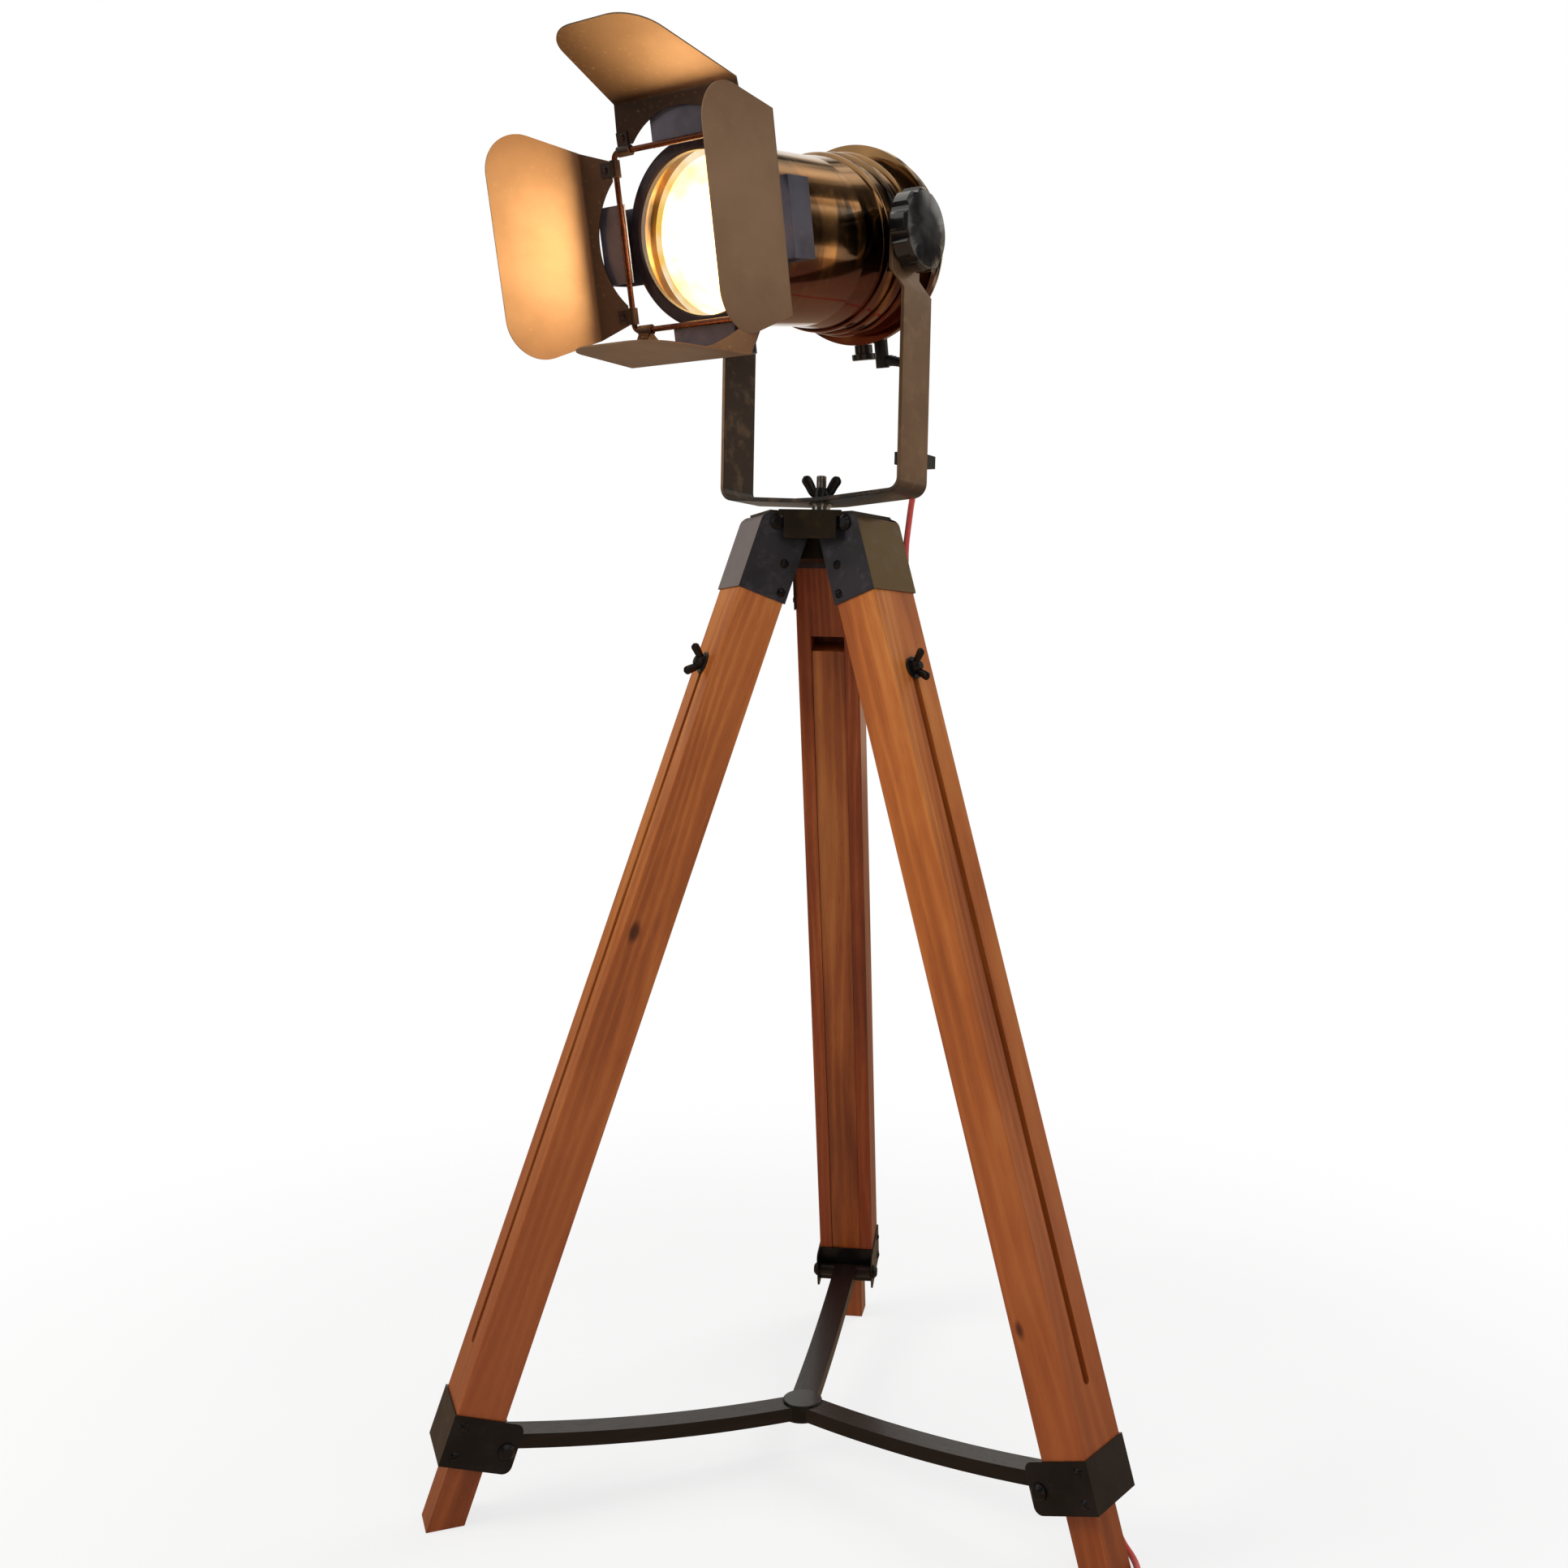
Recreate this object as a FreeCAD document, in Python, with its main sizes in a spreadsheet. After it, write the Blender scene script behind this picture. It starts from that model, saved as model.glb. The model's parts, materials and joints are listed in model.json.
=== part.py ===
import FreeCAD, Part
import math
import os
import Sketcher

# Tripod spotlight floor lamp, in millimetres. The origin is on the floor under the pan axis, +Z is
# up and the lamp's beam points towards -Y. Three wooden legs carry a steel hub, a strap yoke pans
# on the hub, and the lamp head with its four shutter leaves tilts in the yoke.

DRIVING_SIZES = {
    # tripod
    "hinge_height": 941.0,      # height of the legs' reference point at the hub
    "leg_start": 70.0,          # distance of the outer face of a leg from the pan axis up there
    "splay": 18.4,              # angle between a leg and the pan axis
    "tripod_turn": 25.0,        # turn of the tripod under the beam
    "leg_width": 64.0,
    "leg_depth": 46.0,
    "leg_length": 919.0,        # from the reference point to the lower end of the outer leg
    "leg_head_gap": 14.0,       # wood stops this far below the reference point
    "channel_top": 99.0,
    "slide_gap": 0.3,
    "runner_width": 34.0,
    "runner_depth": 33.0,
    "slot_width": 9.0,
    "slot_top": 142.0,
    "slot_end": 813.0,
    "clamp_place": 148.0,       # distance of the leg's clamp bolt from the reference point
    "sheet_steel": 1.6,
    "cap_height": 71.0,
    "cap_rise": 8.0,
    "cap_strap": 15.0,
    "collar_height": 47.0,
    "collar_ear": 17.0,
    "brace_bolt_radius": 4.0,
    "brace_width": 26.0,
    "brace_thick": 14.0,
    "brace_sag": 6.0,
    "brace_drop": 26.0,
    "hinge_inset": 14.0,        # hinge bolt of a leg, inwards from its outer face
    "hinge_bolt_radius": 4.0,
    # hub and pan joint
    "hub_plate_thick": 6.0,
    "hub_top": 948.0,
    "hub_reach": 63.0,
    "hub_boss_radius": 22.0,
    "hub_boss_length": 37.0,
    "skirt_width": 50.0,
    "skirt_drop": 21.0,
    "stud_radius": 5.0,
    "stud_collar_radius": 9.0,
    "running_gap": 0.05,
    # yoke
    "pivot_height": 1212.0,
    "yoke_under": 960.0,
    "yoke_bow": 6.0,
    "yoke_half": 104.0,
    "yoke_neck_half": 90.0,
    "yoke_width": 50.0,
    "strap_thick": 4.0,
    # head, measured along the beam from the tilt axis
    "rest_tilt": 12.0,
    "barrel_radius": 77.0,
    "barrel_front": 186.0,
    "barrel_rear": 47.0,
    "shell_thick": 1.4,
    "barrel_flare": 9.0,
    "rib_rise": 2.6,
    "rib_width": 11.0,
    "ring_radius": 80.0,
    "ring_opening": 68.0,
    "ring_front": 197.0,
    "ring_depth": 26.0,
    "cap_radius": 95.0,
    "cap_depth": 62.0,
    "mirror_depth": 120.0,
    "bulb_radius": 30.0,
    "clip_width": 66.0,
    "clip_reach": 104.0,
    "clip_depth": 32.0,
    # shutter frame and leaves
    "wire_half": 75.0,
    "wire_radius": 2.5,
    "wire_place": 211.0,
    "leaf_thick": 1.2,
    "flange_width": 38.0,
    "side_fold_half": 80.0,
    "end_fold_half": 66.0,
    "fold_bend": 65.0,
    "side_blade_length": 90.0,
    "side_blade_half": 104.0,
    "end_blade_length": 106.0,
    "end_blade_half": 47.0,
    "leaf_corner": 34.0,
    # knobs and cord
    "tilt_knob_radius": 38.0,
    "tilt_knob_thick": 22.0,
    "cord_radius": 3.0,
}


class Size:
    """A number together with the expression that gives it from the sheet of driving sizes."""

    def __init__(self, value, text):
        self.value = float(value)
        self.text = text

    def __add__(self, other):
        other = sized(other)
        return Size(self.value + other.value, f"({self.text} + {other.text})")

    def __radd__(self, other):
        return sized(other) + self

    def __sub__(self, other):
        other = sized(other)
        return Size(self.value - other.value, f"({self.text} - {other.text})")

    def __rsub__(self, other):
        return sized(other) - self

    def __mul__(self, other):
        other = sized(other)
        return Size(self.value * other.value, f"({self.text} * {other.text})")

    def __rmul__(self, other):
        return sized(other) * self

    def __truediv__(self, other):
        other = sized(other)
        return Size(self.value / other.value, f"({self.text} / {other.text})")

    def __neg__(self):
        return Size(-self.value, f"(0 - {self.text})")


def sized(number):
    """A plain number as a Size; a Size stays as it is."""
    if isinstance(number, Size):
        return number
    return Size(number, f"({float(number)!r})")


def sine(angle):
    """Sine of an angle in degrees."""
    return Size(math.sin(math.radians(angle.value)), f"sin({angle.text} * 1 deg)")


def cosine(angle):
    """Cosine of an angle in degrees."""
    return Size(math.cos(math.radians(angle.value)), f"cos({angle.text} * 1 deg)")


class Sheet:
    """The spreadsheet of driving sizes; each size is read as an attribute."""

    def __init__(self, doc):
        table = doc.addObject("Spreadsheet::Sheet", "sizes")
        for row, (name, value) in enumerate(DRIVING_SIZES.items(), start=1):
            table.set(f"A{row}", name)
            table.set(f"B{row}", str(value))
            table.setAlias(f"B{row}", name)
            setattr(self, name, Size(value, f"<<sizes>>.{name}"))


doc = FreeCAD.newDocument("lamp")
d = Sheet(doc)
doc.recompute()

nodes = []


def keep(piece, name):
    """Marks an object as a sub-part that is written to its own file."""
    piece.Label = name
    nodes.append(piece)
    return piece


def helper_name(name):
    """A document name for a feature that is used inside another one."""
    return name + "_form"


# ---- places -------------------------------------------------------------------------------------

def place(base, *turns):
    """Placement expression: base is three sizes, and each turn is an axis letter and an angle."""
    axes = {"x": "vector(1; 0; 0)", "y": "vector(0; 1; 0)", "z": "vector(0; 0; 1)"}
    spins = " * ".join(f"rotation({axes[axis]}; {sized(angle).text})" for axis, angle in turns)
    point = "; ".join(sized(value).text for value in base)
    return f"placement(vector({point}); {spins or 'rotation(vector(0; 0; 1); 0)'})"


def put(piece, expression):
    """Binds the placement of an object."""
    piece.setExpression("Placement", expression)
    return piece


def leg_turn(index):
    """Azimuth of a leg: the first is behind the beam, the others follow at a third of a turn."""
    return 90 + 120 * index + d.tripod_turn


def at_leg(index):
    """Leg frame: X outwards across the leg, Y along its width, Z up along it, origin at its top."""
    turn = leg_turn(index)
    base = (d.leg_start * cosine(turn), d.leg_start * sine(turn), d.hinge_height)
    return place(base, ("z", turn), ("y", -d.splay))


def at_turn(index, height=0):
    """Frame turned to the azimuth of a leg, with its origin on the pan axis."""
    return place((0, 0, height), ("z", leg_turn(index)))


def at_head():
    """Head frame: origin on the tilt axis, beam along -Y, tilted down by the resting tilt."""
    return place((0, 0, d.pivot_height), ("x", d.rest_tilt))


# ---- drawing ------------------------------------------------------------------------------------

def arc_between(start, end, radius):
    """Arc of a circle from start to end: it turns left for a positive radius, else right."""
    middle = (start + end) * 0.5
    chord = end - start
    size = abs(radius)
    rise = math.sqrt(max(size * size - chord.Length * chord.Length / 4, 0))
    left = FreeCAD.Vector(-chord.y, chord.x, 0).normalize()
    centre = middle + left * rise if radius > 0 else middle - left * rise
    first, last = (start, end) if radius > 0 else (end, start)
    circle = Part.Circle(centre, FreeCAD.Vector(0, 0, 1), size)
    angles = [math.atan2(p.y - centre.y, p.x - centre.x) for p in (first, last)]
    if angles[1] < angles[0]:
        angles[1] += 2 * math.pi
    return Part.ArcOfCircle(circle, angles[0], angles[1])


CENTRE_POINT = 3                # a sketch's number for the centre of an arc


def draw(sketch, outline):
    """Closed outline in a sketch. A point is (x, y), or (x, y, radius) where an arc follows it.

    A half circle is held by the place of its centre, because its ends already give its radius.
    """
    corners = [FreeCAD.Vector(sized(p[0]).value, sized(p[1]).value, 0) for p in outline]
    count = len(outline)
    first_edge = sketch.GeometryCount
    ends = []
    for index, point in enumerate(outline):
        start = corners[index]
        end = corners[(index + 1) % count]
        radius = sized(point[2]) if len(point) > 2 else None
        if radius is None:
            sketch.addGeometry(Part.LineSegment(start, end))
        else:
            sketch.addGeometry(arc_between(start, end, radius.value))
        ends.append((2, 1) if radius is not None and radius.value < 0 else (1, 2))
    for index in range(count):
        following = (index + 1) % count
        meeting = Sketcher.Constraint("Coincident", first_edge + index, ends[index][1],
                                      first_edge + following, ends[following][0])
        sketch.addConstraint(meeting)
    for index, point in enumerate(outline):
        for kind, value in (("DistanceX", sized(point[0])), ("DistanceY", sized(point[1]))):
            number = sketch.addConstraint(Sketcher.Constraint(
                kind, -1, 1, first_edge + index, ends[index][0], value.value))
            sketch.setExpression(f"Constraints[{number}]", value.text)
        if len(point) > 2:
            radius = sized(point[2])
            span = corners[(index + 1) % count] - corners[index]
            if abs(span.Length - 2 * abs(radius.value)) < 1e-6:
                across, value = ("DistanceY", sized(point[1]))
                if abs(span.x) < abs(span.y):
                    across, value = ("DistanceX", sized(point[0]))
                number = sketch.addConstraint(Sketcher.Constraint(
                    across, -1, 1, first_edge + index, CENTRE_POINT, value.value))
                sketch.setExpression(f"Constraints[{number}]", value.text)
            else:
                number = sketch.addConstraint(Sketcher.Constraint(
                    "Radius", first_edge + index, abs(radius.value)))
                sketch.setExpression(f"Constraints[{number}]", f"abs({radius.text})")


def new_body(name):
    """An empty body."""
    return doc.addObject("PartDesign::Body", name)


def new_sketch(body, name, plane, outlines, lift=None):
    """Sketch on one of the body's own planes, lifted along the plane's normal where asked."""
    sketch = body.newObject("Sketcher::SketchObject", name)
    support = [f for f in body.Origin.OriginFeatures if f.Role == plane + "_Plane"][0]
    sketch.AttachmentSupport = [(support, "")]
    sketch.MapMode = "FlatFace"
    if lift is not None:
        sketch.setExpression("AttachmentOffset", place((0, 0, lift)))
    for outline in outlines:
        draw(sketch, outline)
    return sketch


def revolved(name, outlines, plane="XY", axis="V_Axis"):
    """Body turned about the sketch's vertical axis, or about its horizontal one."""
    body = new_body(name)
    sketch = new_sketch(body, name + "_profile", plane, outlines)
    turned = body.newObject("PartDesign::Revolution", name + "_turned")
    turned.Profile = sketch
    turned.ReferenceAxis = (sketch, [axis])
    turned.Angle = 360
    return body


def padded(name, plane, outlines, length, lift=None, both=True):
    """Body padded from outlines, to both sides of its sketch or along the sketch's normal."""
    body = new_body(name)
    sketch = new_sketch(body, name + "_outline", plane, outlines, lift)
    pad = body.newObject("PartDesign::Pad", name + "_pad")
    pad.Profile = sketch
    pad.Midplane = both
    pad.Length = sized(length).value
    pad.setExpression("Length", sized(length).text)
    return body


def more_pad(body, name, plane, outlines, length, lift=None, both=True):
    """Adds a second pad to a body."""
    sketch = new_sketch(body, name + "_outline", plane, outlines, lift)
    pad = body.newObject("PartDesign::Pad", name)
    pad.Profile = sketch
    pad.Midplane = both
    pad.Length = sized(length).value
    pad.setExpression("Length", sized(length).text)


def pocketed(body, name, plane, outlines, length, lift=None):
    """Cuts outlines through a body, to both sides of their sketch."""
    doc.recompute()
    before = body.Shape.Volume
    sketch = new_sketch(body, name + "_outline", plane, outlines, lift)
    pocket = body.newObject("PartDesign::Pocket", name)
    pocket.Profile = sketch
    pocket.Midplane = True
    pocket.Length = sized(length).value
    pocket.setExpression("Length", sized(length).text)
    doc.recompute()
    if body.Shape.Volume > before - 0.5:
        raise RuntimeError(f"{name} removes nothing")


def rounded(body, name, radius, wanted):
    """Fillets the edges whose middle and direction satisfy a test."""
    doc.recompute()
    edges = []
    for number, edge in enumerate(body.Shape.Edges, start=1):
        middle = edge.valueAt((edge.FirstParameter + edge.LastParameter) / 2)
        direction = edge.tangentAt(edge.FirstParameter)
        local = body.Placement.inverse()
        if wanted(local.multVec(middle), local.Rotation.multVec(direction)):
            edges.append(f"Edge{number}")
    if not edges:
        raise RuntimeError(f"{name} finds no edge")
    shaped = body.Tip
    fillet = body.newObject("PartDesign::Fillet", name)
    fillet.Base = (shaped, edges)
    fillet.Radius = sized(radius).value
    fillet.setExpression("Radius", sized(radius).text)
    body.Tip = fillet


def rectangle(x0, y0, x1, y1):
    """Outline of a rectangle."""
    return [(x0, y0), (x1, y0), (x1, y1), (x0, y1)]


def round_outline(x, y, radius):
    """Outline of a circle, as two half turns."""
    return [(x + radius, y, radius), (x - radius, y, radius)]


# ---- simple solids ------------------------------------------------------------------------------

def rod(name, radius, length, base, *turns, bore=None):
    """Cylinder along +Z from base, turned as asked; with a bore it is a tube."""
    solid = doc.addObject("Part::Cylinder", helper_name(name))
    bind(solid, "Radius", radius)
    bind(solid, "Height", length)
    if bore is None:
        put(solid, place(base, *turns))
        return solid
    hole = doc.addObject("Part::Cylinder", helper_name(name) + "_bore")
    bind(hole, "Radius", bore)
    bind(hole, "Height", length)
    tube = doc.addObject("Part::Cut", helper_name(name) + "_tube")
    tube.Base = solid
    tube.Tool = hole
    put(tube, place(base, *turns))
    return tube


def block(name, low, high):
    """Box between two corners."""
    solid = doc.addObject("Part::Box", helper_name(name))
    for prop, start, end in zip(("Length", "Width", "Height"), low, high):
        bind(solid, prop, sized(end) - start)
    put(solid, place(low))
    return solid


def bind(piece, prop, size):
    """Sets a length of an object and binds it to the sheet."""
    size = sized(size)
    setattr(piece, prop, size.value)
    piece.setExpression(prop, size.text)


def joined(name, pieces):
    """Union of solids that touch or overlap."""
    union = doc.addObject("Part::MultiFuse", name)
    union.Shapes = pieces
    return union


def grouped(name, pieces):
    """Several separate solids kept in one file."""
    group = doc.addObject("Part::Compound", name)
    group.Links = pieces
    return group


def cut(name, base, *tools):
    """Base less the tools, one after the other."""
    result = base
    for number, tool in enumerate(tools):
        step = doc.addObject("Part::Cut", f"{name}_{number}")
        step.Base = result
        step.Tool = tool
        result = step
    return result


def bolt(name, radius, length, head_radius, head_height, base, *turns):
    """Round-headed bolt: the shank runs along +Z from base, the head lies below it."""
    profile = [(0, -head_height), (head_radius * 0.6, -head_height),
               (head_radius, -head_height * 0.35), (head_radius, 0), (radius, 0), (radius, length),
               (0, length)]
    return put(revolved(name, [profile], "XZ"), place(base, *turns))


def wing_nut(name, hub_radius, hub_height, span, rise, thick, bore):
    """Wing nut on its own origin, its axis along Z and its wings along X."""
    hub = rod(name + "_hub", hub_radius, hub_height, (0, 0, 0))
    wings = []
    for side in (-1, 1):
        outline = [
            (side * hub_radius * 0.4, hub_height * 0.15),
            (side * hub_radius * 1.05, hub_height * 0.3),
            (side * span, rise * 0.62),
            (side * span, rise),
            (side * (span - hub_radius * 0.55), rise),
            (side * hub_radius * 0.4, hub_height * 0.95),
        ]
        wings.append(padded(f"{name}_wing_{'ab'[side > 0]}", "XZ", [outline], thick))
    body = joined(name + "_solid", [hub] + wings)
    if bore is None:
        return body
    hole = rod(name + "_hole", bore, hub_height + 2, (0, 0, -1))
    return cut(name + "_bored", body, hole)


# ---- places on the tripod -----------------------------------------------------------------------

LEGS = ("rear", "left", "right")
CORD_LEG = 2                    # the cord follows the right leg

HINGE_HEIGHT_IN_LEG = 0.0
HINGE_HEAD_RADIUS = 7.5
BOLT_HEAD_HEIGHT = 5.0
CAP_SCREWS = ((-34.0, -35.0), (-40.0, -62.0))
COLLAR_SCREWS = ((-10.0, -882.0), (-10.0, -909.0))
BRACE_BOLT_X = -55.0
BRACE_BOLT_Z = -898.0


def leg_reach(x, z):
    """Distance from the pan axis of a point of the leg frame."""
    return d.leg_start + x * cosine(d.splay) - z * sine(d.splay)


def leg_rise(x, z):
    """Height over the floor of a point of the leg frame."""
    return d.hinge_height + x * sine(d.splay) + z * cosine(d.splay)


def in_leg(index, base, *turns):
    """Placement in the frame of a leg."""
    return at_leg(index) + " * " + place(base, *turns)


def in_head(base, *turns):
    """Placement in the frame of the head."""
    return at_head() + " * " + place(base, *turns)


HINGE_REACH = leg_reach(-d.hinge_inset, HINGE_HEIGHT_IN_LEG)
HINGE_RISE = leg_rise(-d.hinge_inset, HINGE_HEIGHT_IN_LEG)
BRACE_REACH = leg_reach(BRACE_BOLT_X, BRACE_BOLT_Z)
BRACE_RISE = leg_rise(BRACE_BOLT_X, BRACE_BOLT_Z)
HALF_WIDTH = d.leg_width / 2
PLATE_FACE = HALF_WIDTH + d.sheet_steel


def cross_bolt(name, index, x, z, radius, head_radius, head_height):
    """Bolt across a leg with its cap nut: two solids whose heads lie on the side plates."""
    shank = PLATE_FACE * 2 + head_height * 0.5
    pin = bolt(name, radius, shank, head_radius, head_height, (0, 0, 0))
    put(pin, in_leg(index, (x, -PLATE_FACE, z), ("x", -90)))
    profile = [(0, head_height), (head_radius * 0.6, head_height),
               (head_radius, head_height * 0.35), (head_radius, 0), (radius, 0),
               (radius, head_height * 0.5), (0, head_height * 0.5)]
    nut = put(revolved(name + "_nut", [profile], "XZ"), in_leg(index, (x, PLATE_FACE, z), ("x", -90)))
    return [pin, nut]


def wood_screws(name, index, spots):
    """Round-headed screws through both side plates of a fitting into the wood."""
    screws = []
    for number, (x, z) in enumerate(spots):
        for side, turn in ((-1, -90), (1, 90)):
            screw = bolt(f"{name}_{number}_{'ab'[side > 0]}", 1.8, 14, 4.5, 2.2, (0, 0, 0))
            put(screw, in_leg(index, (x, side * PLATE_FACE, z), ("x", turn)))
            screws.append(screw)
    return screws


# ---- cord ---------------------------------------------------------------------------------------

FLOOR_GAP = 0.2
CLIP_STATIONS = (-100.0, -345.0, -590.0, -835.0)
CORD_X = -23.0                  # line of the cord on the side of the leg
CORD_BOW = 4.0                  # slack of the cord between two clips
COIL_CENTRE = (430.0, -132.0)
COIL_RADIUS = 43.0
COIL_PITCH = 6.6
COIL_HALF_TURNS = 12
COIL_LEAD_IN = 6.0
COIL_LEAD_OUT = 44.0
GLAND_PLACE = (86.0, -118.0)    # behind the tilt axis, and below it, in the head frame
GLAND_OUTLET = (7.0, 86.0, -111.0)

YOKE_CLIP_POINT = (86.0, 41.0, 1003.0)
LEG_CLIP_SIDE = 35.3


def leg_point(x, y, z, index=CORD_LEG):
    """World point of a point of a leg frame."""
    turn = math.radians(leg_turn(index).value)
    reach = leg_reach(x, z).value
    return FreeCAD.Vector(reach * math.cos(turn) - y * math.sin(turn),
                          reach * math.sin(turn) + y * math.cos(turn), leg_rise(x, z).value)


def round_point(reach, side, height, index=CORD_LEG):
    """World point at a distance from the pan axis, beside the plane of a leg."""
    turn = math.radians(leg_turn(index).value)
    return FreeCAD.Vector(reach * math.cos(turn) - side * math.sin(turn),
                          reach * math.sin(turn) + side * math.cos(turn), height)


def head_point(x, y, z):
    """World point of a point of the head frame."""
    turn = FreeCAD.Rotation(FreeCAD.Vector(1, 0, 0), d.rest_tilt.value)
    return turn.multVec(FreeCAD.Vector(x, y, z)) + FreeCAD.Vector(0, 0, d.pivot_height.value)


def head_yoke_route():
    """Slack stretch from the gland to the clip on the yoke."""
    points = [(24, 106, 1119), (42, 104, 1104), (50, 98, 1078), (57, 84, 1055), (70, 62, 1038),
              (85.5, 43, 1018), YOKE_CLIP_POINT]
    return [head_point(*GLAND_OUTLET)] + [FreeCAD.Vector(*point) for point in points]


def yoke_leg_route():
    """Stretch from the clip on the yoke to the first clip on the leg."""
    points = [YOKE_CLIP_POINT, (86.5, 39, 988), (78, 44, 967), (74, 46, 945), (71, 46, 921),
              (73, 44, 897)]
    end = [leg_point(CORD_X + 1.1, LEG_CLIP_SIDE, -76), leg_point(CORD_X, LEG_CLIP_SIDE, CLIP_STATIONS[0])]
    return [FreeCAD.Vector(*point) for point in points] + end


def leg_floor_route():
    """Down the side of the leg through the clips, off it near the foot and along the floor."""
    points = []
    for start, end in zip(CLIP_STATIONS, CLIP_STATIONS[1:]):
        points.append(leg_point(CORD_X, LEG_CLIP_SIDE, start))
        points.append(leg_point(CORD_X - CORD_BOW, LEG_CLIP_SIDE, start + (end - start) * 0.35))
        points.append(leg_point(CORD_X - CORD_BOW, LEG_CLIP_SIDE, start + (end - start) * 0.68))
    points.append(leg_point(CORD_X, LEG_CLIP_SIDE, CLIP_STATIONS[-1]))
    low = d.cord_radius.value + FLOOR_GAP
    free = [(322, 38, 98), (330, 40, 66), (335, 40, 37), (346, 38, 12), (366, 30, low),
            (382, 8, low)]
    points += [round_point(*place_of) for place_of in free]
    start = COIL_CENTRE[0] - COIL_RADIUS
    points += [FreeCAD.Vector(start + 2, COIL_CENTRE[1] + 72, low),
               FreeCAD.Vector(start, COIL_CENTRE[1] + 36, low),
               FreeCAD.Vector(start, COIL_CENTRE[1] + COIL_LEAD_IN, low)]
    return points


def bend_radius(before, corner, after):
    """Radius of the arc at a corner of a route."""
    first = corner - before
    second = after - corner
    turn = first.getAngle(second)
    return 0.45 * min(first.Length, second.Length) / math.tan(turn / 2)


def route_wire(points):
    """Straight runs joined by tangent arcs, each as large as its two runs allow."""
    edges = []
    start = points[0]
    for before, corner, after in zip(points, points[1:], points[2:]):
        reach = 0.45 * min((corner - before).Length, (after - corner).Length)
        arc_start = corner + (before - corner).normalize() * reach
        arc_end = corner + (after - corner).normalize() * reach
        radius = bend_radius(before, corner, after)
        turn = (corner - before).getAngle(after - corner)
        chord_middle = (arc_start + arc_end) * 0.5
        inward = (chord_middle - corner).normalize()
        arc_middle = corner + inward * (radius / math.cos(turn / 2) - radius)
        edges.append(Part.LineSegment(start, arc_start).toShape())
        edges.append(Part.Arc(arc_start, arc_middle, arc_end).toShape())
        start = arc_end
    edges.append(Part.LineSegment(start, points[-1]).toShape())
    return Part.Wire(edges)


def tube_along(name, wire):
    """Solid tube of the cord's section along a wire, compared with section times length."""
    first = wire.OrderedEdges[0]
    radius = d.cord_radius.value
    circle = Part.Circle(first.valueAt(first.FirstParameter), first.tangentAt(first.FirstParameter),
                         radius)
    shape = wire.makePipeShell([Part.Wire([circle.toShape()])], True, False)
    expected = math.pi * radius ** 2 * wire.Length
    print(f"{name}: length {wire.Length:.0f}, volume over section times length "
          f"{shape.Volume / expected:.4f}")
    tube = doc.addObject("Part::Feature", name)
    tube.Shape = shape
    return tube


def cord_stretch(name, points):
    """Free stretch of cord along a route of hand-set points."""
    radii = [bend_radius(*three) for three in zip(points, points[1:], points[2:])]
    print(name, "radii", [round(radius) for radius in radii])
    return keep(tube_along(name, route_wire(points)), name)


def biarc(start, start_way, end, end_way):
    """Two arcs that leave start and reach end along the given unit directions."""
    span = end - start
    ways = start_way + end_way
    square = 2 * (1 - start_way.dot(end_way))
    linear = 2 * span.dot(ways)
    reach = (-linear + math.sqrt(linear ** 2 + 4 * square * span.dot(span))) / (2 * square)
    first = start + start_way * reach
    second = end - end_way * reach
    middle = (first + second) * 0.5
    edges = []
    for low, corner, high in ((start, first, middle), (middle, second, end)):
        half = (corner - low).getAngle(high - corner) / 2
        radius = reach / math.tan(half)
        inward = ((low + high) * 0.5 - corner).normalize()
        edges.append(Part.Arc(low, corner + inward * (radius / math.cos(half) - radius),
                              high).toShape())
    return edges


def coil_radius(number):
    """Radius of the coil after a number of half turns; the upper layer starts a step further out."""
    steps = number if number <= COIL_HALF_TURNS / 2 else COIL_HALF_TURNS - 1 - number
    return COIL_RADIUS - COIL_PITCH / 2 * steps


def coil_wire():
    """Two layers of turns: in on the floor, up in the half turn that reverses, and out again."""
    centre = FreeCAD.Vector(*COIL_CENTRE, 0)
    low = d.cord_radius.value + FLOOR_GAP
    points = []
    for number in range(COIL_HALF_TURNS + 1):
        radius = coil_radius(number)
        side = -1 if number % 2 == 0 else 1
        height = low if number < COIL_HALF_TURNS / 2 else low + COIL_PITCH
        way = FreeCAD.Vector(0, side, 0)
        points.append((centre + FreeCAD.Vector(side * radius, 0, height), way))
    first, way = points[0]
    edges = [Part.LineSegment(first - way * COIL_LEAD_IN, first).toShape()]
    for (start, start_way), (end, end_way) in zip(points, points[1:]):
        edges += biarc(start, start_way, end, end_way)
    last, way = points[-1]
    edges.append(Part.LineSegment(last, last + way * COIL_LEAD_OUT).toShape())
    return Part.Wire(edges)


def least_self_gap(wire, diameter):
    """Least gap between two stretches of a tube that are further apart along it."""
    count = int(wire.Length / 3)
    samples = wire.discretize(Number=count)
    step = wire.Length / (count - 1)
    skip = int(math.ceil(4 * diameter / step))
    return min((samples[i] - samples[j]).Length for i in range(count)
               for j in range(i + skip, count)) - diameter


# ---- legs ---------------------------------------------------------------------------------------

CLAMP_RADIUS = 3.0              # bolt of a leg's clamp
CLAMP_DEPTH = 30.0              # its length below the washer
CLAMP_WASHER_THICK = 2.0
BRACE_HUB_RADIUS = 20.0
BRACE_HUB_HEIGHT = 18.0


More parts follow.
